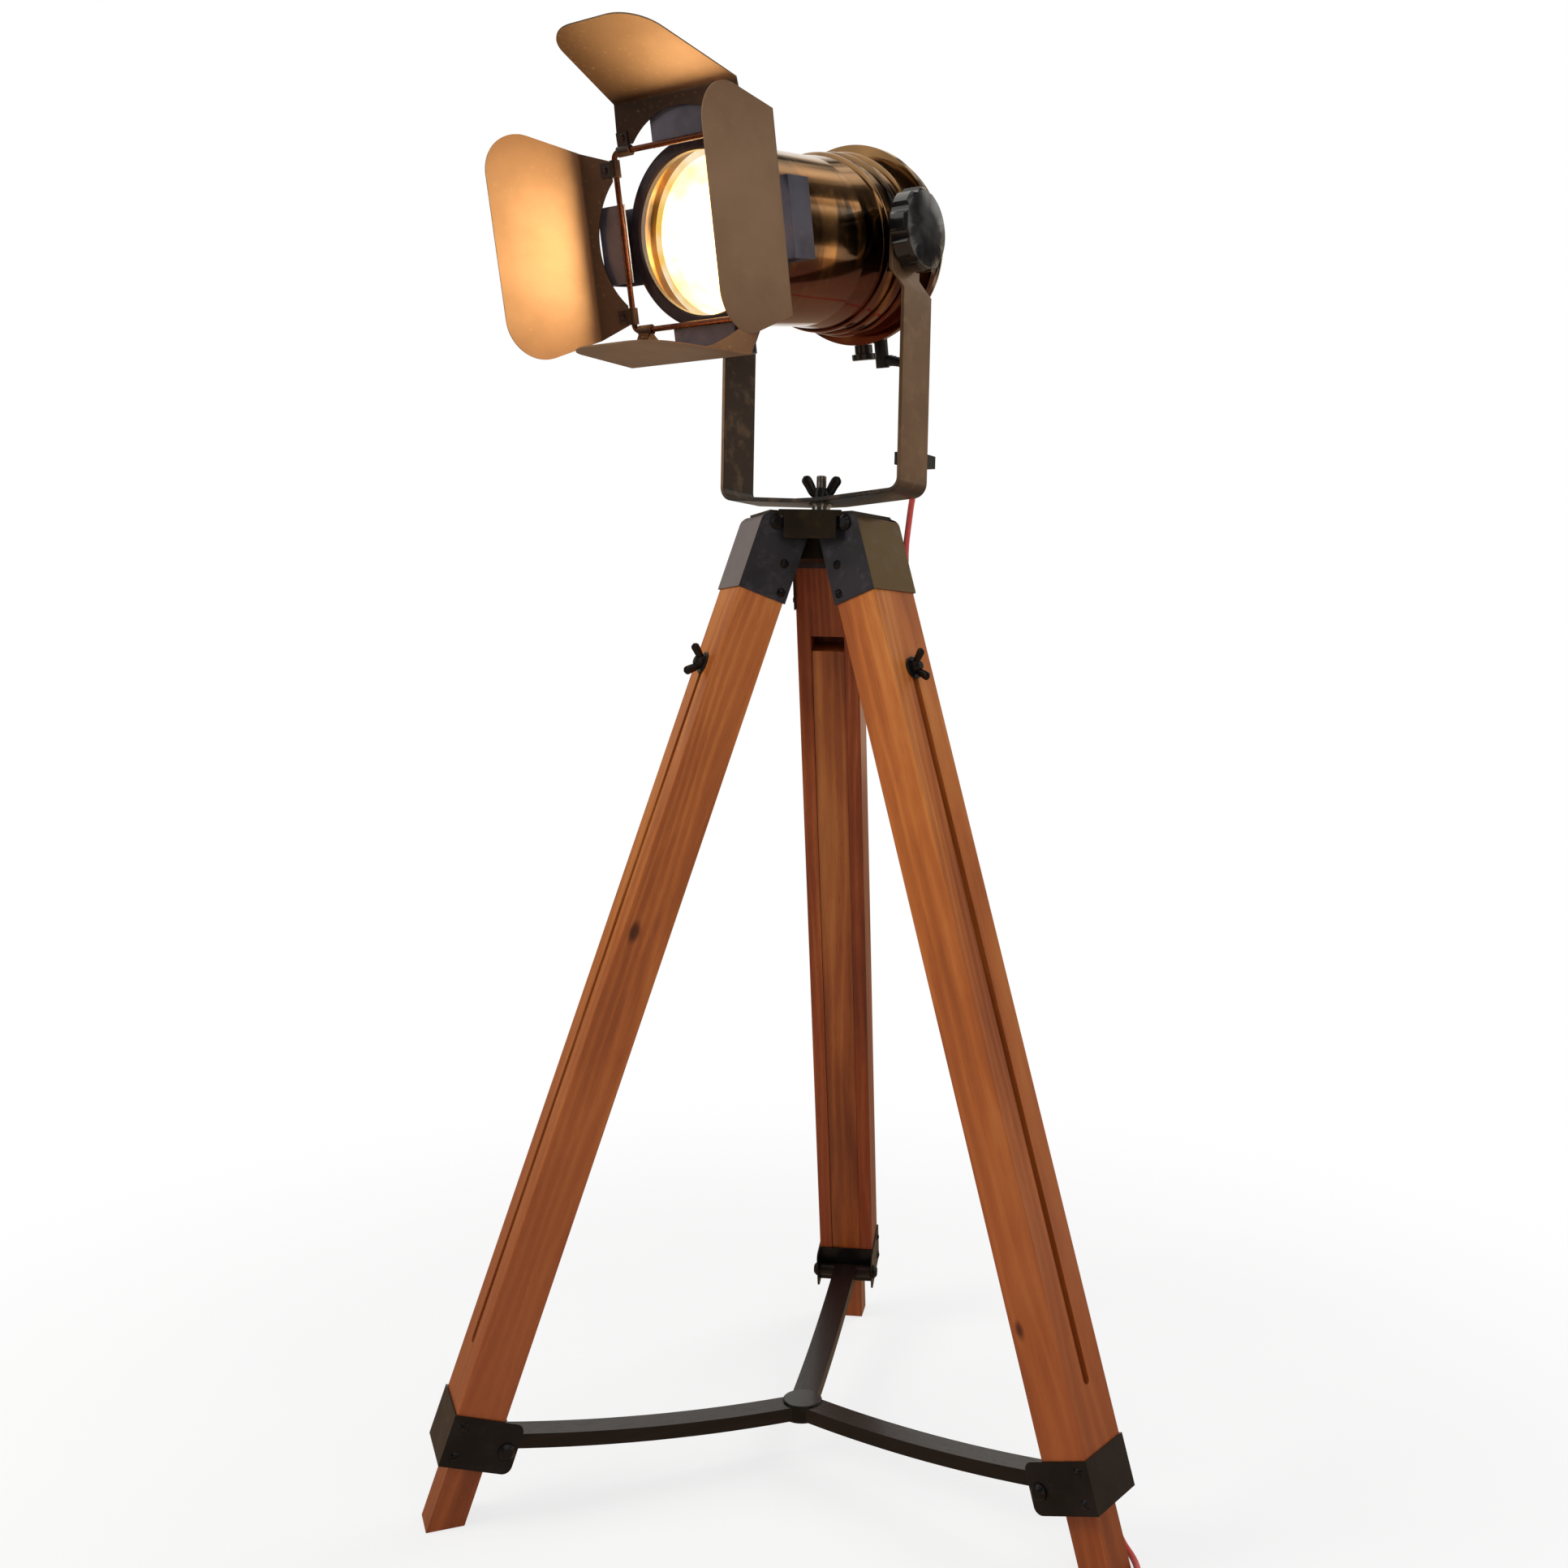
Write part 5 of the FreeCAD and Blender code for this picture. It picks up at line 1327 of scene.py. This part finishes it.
@dataclass
class Lead:
    """Red braided lead: its three stretches, coil, clips, reliefs and plug.

    Attributes:
        radius: Radius of the lead.
        stations: Places of the clips along the right leg.
        line: Place of the lead across the leg's side.
        side: Distance of the lead from the leg's middle plane.
        bow: Slack of the lead between two clips.
        coil_centre: Middle of the coil on the floor.
        coil_radius: Radius of its outer turn.
        coil_pitch: Distance between two turns.
        half_turns: Half turns in its two layers.
        lead_in: Straight length before the coil.
        lead_out: Straight length from the coil to the plug.
        floor_gap: Clearance over the floor.
        per_turn: Points of the coil in a turn.
        rib_pitch: Distance between two ribs of a relief.
        rib_rise: Height of a rib.
        sample: Distance between two points of a relief's line.
    """

    radius: float = 0.003
    stations: tuple[float, ...] = (-0.100, -0.345, -0.590, -0.835)
    line: float = -0.023
    side: float = 0.0353
    bow: float = 0.004
    coil_centre: tuple[float, float] = (0.430, -0.132)
    coil_radius: float = 0.043
    coil_pitch: float = 0.0066
    half_turns: int = 12
    lead_in: float = 0.006
    lead_out: float = 0.044
    floor_gap: float = 0.0002
    per_turn: int = 16
    rib_pitch: float = 0.0042
    rib_rise: float = 0.00045
    sample: float = 0.0008

    def on_leg(self, x: float, z: float) -> Vector:
        """Point of the lead's line on the right leg."""
        return LAYOUT.leg(Leg.RIGHT) @ Vector((x, self.side, z))

    def head_route(self) -> list[Vector]:
        """Slack stretch from the gland to the clip on the yoke.

        Returns:
            Its control points.
        """
        points = [(0.024, 0.106, 1.119), (0.042, 0.104, 1.104), (0.050, 0.098, 1.078),
                  (0.057, 0.084, 1.055), (0.070, 0.062, 1.038), (0.0855, 0.043, 1.018),
                  (0.086, 0.041, 1.003)]
        return [LAYOUT.head() @ Vector((0.007, 0.086, -0.111))] + [Vector(p) for p in points]

    def yoke_route(self) -> list[Vector]:
        """Stretch from the clip on the yoke to the first clip on the leg.

        Returns:
            Its control points.
        """
        points = [(0.086, 0.041, 1.003), (0.0865, 0.039, 0.988), (0.078, 0.044, 0.967),
                  (0.074, 0.046, 0.945), (0.071, 0.046, 0.921), (0.073, 0.044, 0.897)]
        end = [self.on_leg(self.line + 0.0011, -0.076), self.on_leg(self.line, self.stations[0])]
        return [Vector(p) for p in points] + end

    def leg_route(self) -> list[Vector]:
        """Down the leg through the clips, off it near the foot and along the floor.

        Returns:
            Its control points.
        """
        points = []
        for start, end in zip(self.stations, self.stations[1:]):
            points.append(self.on_leg(self.line, start))
            points += [self.on_leg(self.line - self.bow, start + (end - start) * share)
                       for share in (0.35, 0.68)]
        points.append(self.on_leg(self.line, self.stations[-1]))
        low = self.radius + self.floor_gap
        free = [(0.322, 0.038, 0.098), (0.330, 0.040, 0.066), (0.335, 0.040, 0.037),
                (0.346, 0.038, 0.012), (0.366, 0.030, low), (0.382, 0.008, low)]
        points += [LAYOUT.beside_leg(Leg.RIGHT, *place) for place in free]
        x, y = self.coil_centre
        start = x - self.coil_radius
        return points + [Vector((start + 0.002, y + 0.072, low)), Vector((start, y + 0.036, low)),
                         Vector((start, y + self.lead_in, low))]

    def radius_after(self, half_turns: float) -> float:
        """Radius of the coil, whose upper layer starts a step further out.

        Args:
            half_turns: Half turns from its start.

        Returns:
            The radius there.
        """
        def whole(number: int) -> float:
            """Radius after a whole number of half turns."""
            steps = number if number <= self.half_turns / 2 else self.half_turns - 1 - number
            return self.coil_radius - self.coil_pitch / 2 * steps

        low = math.floor(half_turns)
        share = half_turns - low
        return whole(low) * (1 - share) + (whole(low + 1) * share if share else 0)

    def coil_route(self) -> list[Vector]:
        """Two layers of turns: in on the floor, up where the spiral reverses, and out again.

        Returns:
            Its control points.
        """
        x, y = self.coil_centre
        low = self.radius + self.floor_gap
        swell = 1 / math.cos(math.pi / self.per_turn)
        climb_start = self.half_turns / 2 - 1
        points = []
        for step in range(self.half_turns * self.per_turn // 2 + 1):
            half_turns = 2 * step / self.per_turn
            angle = math.pi * (1 + half_turns)
            reach = self.radius_after(half_turns) * swell
            rise = self.coil_pitch * min(max(half_turns - climb_start, 0), 1)
            points.append(Vector((x + reach * math.cos(angle), y + reach * math.sin(angle),
                                  low + rise)))
        last = points[-1]
        run = self.lead_out / 2
        return points + [last + Vector((0, -run, 0)), last + Vector((0, -self.lead_out, 0))]

    def stretch(self, name: str, route: list[Vector], nodes: Sequence[str],
                body: str | None) -> list[Vector]:
        """Makes one stretch of the lead.

        Args:
            name: Name of the piece.
            route: Its control points.
            nodes: Solids that it stands for.
            body: Body that it rides on, or None if it bends between two.

        Returns:
            Points along its middle line.
        """
        line = smooth_line(route)
        form = bmesh.new()
        tube(form, line, lambda _: (self.radius, self.radius))
        piece = placed(name, mesh_of(form, name), Finish.RED_BRAID.material, None, body,
                       body is not None)
        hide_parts(*nodes)
        if body is None:
            if name.startswith("lead_head"):
                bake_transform(piece, "yoke", "head", start=(0.0855, 0.043, 1.018), end=(0.034, 0.105, 1.112))
            else:
                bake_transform(piece, "tripod", "yoke", start=(0.078, 0.044, 0.953),
                         end=(0.0865, 0.040, 1.000))
        log.info("%s is %.3f m long", name, line_length(line))
        return line

    def relief(self, name: str, line: Sequence[Vector], length: float, thick: float, body: str,
               node: str | None = None) -> bpy.types.Object:
        """Tapered, ribbed sleeve over the start of a line.

        Args:
            name: Name of the piece.
            line: Points from the housing outwards.
            length: Its length.
            thick: Its radius at the housing.
            body: Body that it rides on.
            node: Not used.

        Returns:
            The piece.
        """
        fine = []
        travelled = 0.0
        for start, end in zip(line, line[1:]):
            span = (end - start).length
            count = max(1, round(span / self.sample))
            fine += [start.lerp(end, k / count) for k in range(count)]
            travelled += span
            if travelled > length:
                break
        kept = [fine[0]]
        run = 0.0
        for before, after in zip(fine, fine[1:]):
            run += (after - before).length
            if run > length:
                break
            kept.append(after)
        thin = self.radius + 0.0004

        def ribbed(distance: float) -> tuple[float, float]:
            """Works out the sleeve's width, which tapers and has ribs between its ends.

            Args:
                distance: Distance along the sleeve.

            Returns:
                Its two half widths there.
            """
            share = min(distance / length, 1.0)
            rib = self.rib_rise * (math.cos(TURN * distance / self.rib_pitch) > 0)
            reach = thick + (thin - thick) * share + rib * (0.12 < share < 0.92)
            return reach, reach

        form = bmesh.new()
        tube(form, kept, ribbed, 20)
        piece = placed(name, mesh_of(form, name), Finish.MATT_PLASTIC.material, None, body)
        return piece

    def plug(self, end: Vector) -> bpy.types.Object:
        """Rounded plug with a waist for the fingers.

        Args:
            end: Where the lead enters it.

        Returns:
            The plug.
        """
        form = bmesh.new()
        sections = [(0.0, 0.0055, 0.0055), (0.003, 0.0088, 0.0072), (0.010, 0.0135, 0.0084),
                    (0.016, 0.0150, 0.0088), (0.022, 0.0142, 0.0080), (0.028, 0.0150, 0.0086),
                    (0.033, 0.0168, 0.0092), (0.0352, 0.0168, 0.0092), (0.036, 0.0160, 0.0086)]
        line = [end + Vector((0, -place, 0)) for place, _, _ in sections]
        widths = {round(place, 5): (half, rise) for place, half, rise in sections}
        tube(form, line, lambda distance: widths[min(widths, key=lambda k: abs(k - distance))], 32,
             Vector((0, 0, 1)))
        return placed("plug_moulding", mesh_of(form, "plug_moulding"), Finish.BLACK_PLASTIC.material,
                      "plug_body")

    def build(self) -> None:
        """Makes the lead from the head to the plug."""
        head_line = self.stretch("lead_head_to_yoke", self.head_route(), ["cord_head_yoke"],
                                 None)
        self.relief("gland_relief", head_line, 0.026, 0.0056, "head")
        self.stretch("lead_yoke_to_leg", self.yoke_route(), ["cord_yoke_leg"],
                     None)
        end = self.coil_route()[-1]
        plug = self.plug(end)
        back = [end + Vector((0, 0.0005, 0)), end + Vector((0, 0.028, 0))]
        relief = self.relief("plug_relief", back, 0.026, 0.0054, "tripod", "plug_body")
        dress("plug_pins", Finish.STEEL.material)
        self.stretch("lead_leg_to_plug", self.leg_route() + self.coil_route(),
                     ["cord_leg", "cord_coil"], "tripod")
        eased("cord_clips", 0.0006, Finish.MATT_PLASTIC.material)
        eased("yoke_cord_clip", 0.0006, Finish.MATT_PLASTIC.material)
        dress("cord_gland", Finish.MATT_PLASTIC.material)


# ---- winged fixings and screws ----

@dataclass(frozen=True)
class WingNut:
    """Cast nut or bolt head with two rounded wings.

    Attributes:
        hub: Radius of its hub.
        height: Height of the hub.
        span: Reach of a wing's tip from the axis.
        rise: Height of a wing's tip.
        lobe: Radius of a wing's tip.
        shank: Radius and ends of its bolt, or None for a nut.
        washer: Radius and thickness of a washer under it, or None.
    """

    hub: float
    height: float
    span: float
    rise: float
    lobe: float
    shank: tuple[float, float, float] | None = None
    washer: tuple[float, float] | None = None

    def build(self, name: str, node: str, place: Matrix) -> bpy.types.Object:
        """Makes the piece.

        Args:
            name: Its name.
            node: The solid that it stands for.
            place: Its frame, with the axis along Z and the wings along X.

        Returns:
            The piece.
        """
        form = bmesh.new()
        hub, height = self.hub, self.height
        base = self.washer[1] if self.washer else 0.0
        turned(form, [(0, base), (hub * 0.98, base), (hub, base + 0.0006), (hub * 0.94, height * 0.55),
                      (hub * 0.78, height * 0.9), (hub * 0.68, height), (0, height)], place)
        if self.washer:
            wide, thick = self.washer
            turned(form, [(0, 0), (wide - 0.0004, 0), (wide, 0.0004), (wide, thick - 0.0004),
                          (wide - 0.0004, thick), (0, thick)], place)
        if self.shank:
            radius, low, high = self.shank
            turned(form, [(0, low), (radius, low), (radius, high), (0, high)], place, 24)
        for side in (-1, 1):
            tip = Vector((side * (self.span - self.lobe * 0.5), 0, self.rise - self.lobe * 0.3))
            route = [Vector((side * hub * 0.2, 0, height * 0.35)),
                     Vector((side * hub * 0.85, 0, height * 0.5)), tip * 0.7, tip]
            line = smooth_line(route)
            whole = line_length(line)

            def lobed(distance: float) -> tuple[float, float]:
                """Works out a wing's width, which swells and closes in a round tip.

                Args:
                    distance: Distance along the wing.

                Returns:
                    Its two half widths there.
                """
                share = distance / whole
                reach = self.lobe * (0.8 + 0.25 * share)
                end = max(0.0, (share - 0.78) / 0.22)
                close = math.sqrt(max(1 - end * end, 0.02))
                return reach * 0.5 * close, reach * close

            tube(form, [place @ point for point in line], lobed, 20,
                 place.to_3x3() @ Vector((0, 0, 1)))
        return placed(name, mesh_of(form, name), Finish.WING_BLACK.material, node)


@dataclass(frozen=True)
class SlottedScrew:
    """Round screw head with a slot.

    Attributes:
        radius: Radius of the head.
        rise: Height of the dome.
        slot_half: Half width of the slot.
        slot_depth: Depth of the slot below the dome's top.
    """

    radius: float = 0.0045
    rise: float = 0.0022
    slot_half: float = 0.00055
    slot_depth: float = 0.0009

    def dome(self, distance: float) -> float:
        """Height of the dome at a distance from the axis."""
        sphere = (self.radius ** 2 + self.rise ** 2) / (2 * self.rise)
        return math.sqrt(max(sphere ** 2 - distance ** 2, 0)) - (sphere - self.rise)

    def head(self, form: bmesh.types.BMesh, place: Matrix) -> None:
        """Adds a head, as two half domes beside a lower web.

        Args:
            form: Where it goes.
            place: Its frame, with the axis along Z.
        """
        rows, columns = 5, 9
        sweep = [math.sin((column / columns - 0.5) * math.pi) for column in range(columns + 1)]
        reach = math.sqrt(self.radius ** 2 - self.slot_half ** 2)
        level = self.rise - self.slot_depth
        for side in (-1, 1):
            grid = [[form.verts.new(place @ Vector((reach * turn, side * self.slot_half, level)))
                     for turn in sweep]]
            for row in range(rows + 1):
                y = self.slot_half + (self.radius - self.slot_half) * math.sin(row / rows * math.pi / 2)
                half = math.sqrt(max(self.radius ** 2 - y * y, 0))
                points = [Vector((half * turn, side * y, self.dome(math.hypot(y, half * turn))))
                          for turn in sweep]
                grid.append([form.verts.new(place @ point) for point in points])
            for low, high in zip(grid, grid[1:]):
                for column in range(columns):
                    form.faces.new([low[column], low[column + 1], high[column + 1], high[column]])
        corners = ((-reach, -1), (reach, -1), (reach, 1), (-reach, 1))
        form.faces.new([form.verts.new(place @ Vector((x, side * self.slot_half, level)))
                        for x, side in corners])
        turned(form, [(0, -0.001), (self.radius, -0.001), (self.radius, 0.0), (0, 0.0)], place, 24)

    def rows(self, name: str, node: str, spots: Sequence[tuple[float, float]], face: float) -> None:
        """Puts screws on both sides of every leg.

        Args:
            name: Name of the piece.
            node: The solids that they stand for.
            spots: Places across and along the leg.
            face: Distance of the plates' faces from the leg's middle plane.
        """
        form = bmesh.new()
        for order, leg in enumerate(Leg):
            for number, (x, z) in enumerate(spots):
                for side in (-1, 1):
                    turn = 0.7 * order + 1.9 * number + side
                    self.head(form, LAYOUT.leg(leg) @ Matrix.Translation((x, side * face, z))
                              @ Matrix.Rotation(-side * math.pi / 2, 4, "X")
                              @ Matrix.Rotation(turn, 4, "Z"))
        placed(name, mesh_of(form, name, math.radians(30)), Finish.FIXING_BLACK.material, node)


# ---- tripod ----

@dataclass
class Tripod:
    """Wooden legs with their steel fittings, winged clamps and brace.

    Attributes:
        clamp_place: Distance of a clamp from the leg's reference point.
        plate_face: Distance of the fittings' faces from the leg's middle plane.
        cap_spots: Places of the cap's screws.
        collar_spots: Places of the collar's screws.
        leg_shades: Wood of the two front legs: late, middle and early.
        rear_shades: Wood of the rear leg, a darker copy of the front legs' wood as painted shade.
        runner_shades: Wood of the inner legs.
        brace_shades: Stained wood of the brace.
        cap_shades: Colour of the painted light on each cap's outward face.
        knots: Places of knots in each leg's frame.
    """

    clamp_place: float = 0.148
    plate_face: float = 0.0336
    cap_spots: tuple[tuple[float, float], ...] = ((-0.034, -0.035), (-0.040, -0.062))
    collar_spots: tuple[tuple[float, float], ...] = ((-0.010, -0.882), (-0.010, -0.909))
    leg_shades: tuple[str, str, str] = ("84401a", "b26228", "cf8540")
    rear_shades: tuple[str, str, str] = ("5e240c", "8e4014", "b0622a")
    runner_shades: tuple[str, str, str] = ("6a2f12", "9c5220", "bb7434")
    brace_shades: tuple[str, str, str] = ("0d0706", "180e0b", "261712")
    cap_shades: dict[Leg, str] = field(default_factory=lambda: {
        Leg.REAR: "3c3a3e", Leg.LEFT: "837b80", Leg.RIGHT: "6a5430"})
    knots: dict[Leg, tuple[Point, ...]] = field(default_factory=lambda: {
        Leg.RIGHT: ((-0.036, -0.032, -0.757),), Leg.LEFT: ((-0.012, 0.032, -0.41),),
        Leg.REAR: ((0.0, 0.01, -0.62),)})

    def build(self) -> None:
        """Dresses the tripod and makes its fixings."""
        clamp = WingNut(0.0055, 0.010, 0.0165, 0.017, 0.0042, (0.003, -0.030, 0.0), (0.011, 0.002))
        for order, leg in enumerate(Leg):
            place = LAYOUT.leg(leg)
            # the rear leg takes a darker copy of the front legs' wood as painted shade
            shades = self.rear_shades if leg is Leg.REAR else self.leg_shades
            post = Timber(f"leg_wood_{leg.word}", place, 0.37 + order, shades, "8a3414",
                          knots=self.knots[leg])
            eased(f"outer_leg_{leg.word}", 0.0008, post.material())
            runner = Timber(f"runner_wood_{leg.word}", place, 5.2 + order, self.runner_shades, "98441c",
                            reach=1.05)
            eased(f"inner_leg_{leg.word}", 0.0012, runner.material())
            arm = Timber(f"brace_wood_{leg.word}", LAYOUT.arm(leg), 8.1 + order, self.brace_shades,
                         "180e0b", gloss=0.36)
            eased(f"brace_arm_{leg.word}", 0.0022, arm.material(), 3)
            # each cap's outward face takes its own painted light
            steel = CapSteel(f"cap_steel_{leg.word}", place, self.cap_shades[leg])
            eased(f"leg_cap_{leg.word}", 0.0006, steel.material())
            eased(f"foot_collar_{leg.word}", 0.0006, Finish.COLLAR_STEEL.material)
            seat = (place @ Matrix.Translation((0, 0, -self.clamp_place))
                    @ Matrix.Rotation(math.pi / 2, 4, "Y"))
            clamp.build(f"wing_clamp_{leg.word}", f"leg_clamp_{leg.word}", seat)
        for node, width in (("brace_centre", 0.0015), ("hinge_bolts", 0.0004), ("brace_bolts", 0.0004)):
            eased(node, width, Finish.FIXING_BLACK.material)
        screw = SlottedScrew()
        screw.rows("cap_screw_heads", "cap_screws", self.cap_spots, self.plate_face)
        screw.rows("collar_screw_heads", "collar_screws", self.collar_spots, self.plate_face)


# ---- hub and yoke ----

@dataclass
class HubAndYoke:
    """Cast hub, threaded pan stud, wing nut and strap yoke.

    Attributes:
        stud_radius: Radius of the stud.
        collar_radius: Radius of its collar.
        stud_foot: Height of its lower end.
        hub_top: Height of the hub's top.
        collar_top: Height of the collar's top.
        stud_top: Height of its upper end.
        nut_seat: Height of the wing nut's seat.
        pitch: Pitch of the thread.
        thread_depth: Depth of the thread.
    """

    stud_radius: float = 0.005
    collar_radius: float = 0.009
    stud_foot: float = 0.915
    hub_top: float = 0.948
    collar_top: float = 0.958
    stud_top: float = 0.988
    nut_seat: float = 0.96405
    pitch: float = 0.00125
    thread_depth: float = 0.0005

    def stud(self) -> None:
        """Stud with a collar and a rolled thread above it."""
        outline = [(0, self.stud_foot), (self.stud_radius, self.stud_foot),
                   (self.stud_radius, self.hub_top), (self.collar_radius, self.hub_top),
                   (self.collar_radius, self.collar_top), (self.stud_radius, self.collar_top)]
        height = self.collar_top + 0.001
        while height < self.stud_top - self.pitch:
            outline += [(self.stud_radius, height), (self.stud_radius, height + self.pitch * 0.25),
                        (self.stud_radius - self.thread_depth, height + self.pitch * 0.6)]
            height += self.pitch
        outline += [(self.stud_radius - self.thread_depth, self.stud_top), (0, self.stud_top)]
        form = bmesh.new()
        turned(form, outline, Matrix.Identity(4), 48)
        placed("threaded_stud", mesh_of(form, "threaded_stud", math.radians(25)), Finish.STEEL.material,
               "pan_stud")

    def build(self) -> None:
        """Dresses the hub and the yoke."""
        eased("hub", 0.0008, Finish.HUB_IRON.material)
        self.stud()
        dress("pan_washer", Finish.STEEL.material)
        eased("yoke", 0.0006, Finish.YOKE_BRONZE.material)
        nut = WingNut(0.009, 0.012, 0.020, 0.025, 0.0052)
        place = Matrix.Translation((0, 0, self.nut_seat)) @ Matrix.Rotation(math.radians(30), 4, "Z")
        nut.build("wing_nut_cast", "pan_wing_nut", place)


# ---- lamp head and leaves ----

@dataclass
class Head:
    """Spotlight housing with its mirror, bulb, clips, wire frame and knobs.

    Attributes:
        wire_radius: Radius of the wire.
        wire_corner: Radius of the wire frame's corners.
        dressed: Finish of each solid that is shown as it is.
    """

    wire_radius: float = 0.0025
    wire_corner: float = 0.006
    dressed: dict[str, Finish] = field(default_factory=lambda: {
        "barrel": Finish.HEAD_BRONZE, "rear_cap": Finish.HEAD_BRONZE,
        "front_ring": Finish.RING_BRONZE, "pivot_bosses": Finish.FIXING_BLACK,
        "reflector": Finish.MIRROR, "bulb_glass": Finish.BULB, "bulb_base": Finish.BRASS,
        "lampholder": Finish.CREAM, "lamp_carrier": Finish.PLATE, "pivot_bolts": Finish.STEEL,
        "thumb_screw": Finish.BLACK_PLASTIC})

    def wire(self) -> None:
        """Square frame bent from one wire, closed by a butt weld below."""
        half, corner = LAYOUT.wire_half, self.wire_corner
        flat = [Vector((0, 0, -half))]
        steps = 7
        for quarter in range(4):
            turn = Matrix.Rotation(-quarter * math.pi / 2, 4, "Y")
            middle = Vector((half - corner, 0, -half + corner))
            for step in range(steps + 1):
                angle = -math.pi / 2 + step / steps * math.pi / 2
                flat.append(turn @ (middle + Vector((math.cos(angle), 0, math.sin(angle))) * corner))
        flat.append(flat[0] + Vector((-0.0001, 0, 0)))
        place = LAYOUT.head() @ Matrix.Translation((0, -LAYOUT.wire_place, 0))
        form = bmesh.new()
        tube(form, [place @ point for point in flat],
             lambda _: (self.wire_radius, self.wire_radius), 16)
        placed("bent_wire_frame", mesh_of(form, "bent_wire_frame"), Finish.WIRE_COPPER.material,
               "wire_frame")

    def build(self) -> None:
        """Dresses the head."""
        for node, finish in self.dressed.items():
            dress(node, finish.material)
        eased("frame_clips", 0.0004, Finish.CLIP_GREY.material)
        for side in ("left", "right"):
            eased(f"tilt_knob_{side}", 0.0012, Finish.BLACK_PLASTIC.material, 3)
        self.wire()


@dataclass
class Shutters:
    """Four folded leaves with their lugs and rivets.

    Attributes:
        opened: Angle at which each leaf stands, in degrees, and the strength of its painted shade to one
            side.
    """

    opened: dict[str, tuple[float, float]] = field(default_factory=lambda: {
        "top": (3.0, 0.92), "right": (27.0, 0.0), "bottom": (33.0, 0.0), "left": (5.0, 0.0)})

    def build(self) -> None:
        """Dresses the leaves."""
        for number, (side, (angle, shade)) in enumerate(self.opened.items()):
            place = (LAYOUT.head() @ Matrix.Rotation(math.radians(90 * number), 4, "Y")
                     @ Matrix.Translation((0, -LAYOUT.wire_place, LAYOUT.wire_half))
                     @ Matrix.Rotation(math.radians(angle), 4, "X"))
            paint = LeafPaint(f"leaf_bronze_{side}", place, shade)
            eased(f"leaf_{side}", 0.0003, paint.material())
            dress(f"leaf_lugs_{side}", Finish.LUG_BRONZE.material)


def main() -> None:
    """Builds the camera, the lead, the sub-assemblies and the studio, in that order."""
    logging.basicConfig(level=logging.INFO, format="%(name)s: %(message)s")
    PhotoCamera().build()
    Lead().build()
    Tripod().build()
    HubAndYoke().build()
    Head().build()
    Shutters().build()
    Studio().build()


if __name__ == "__main__":
    main()
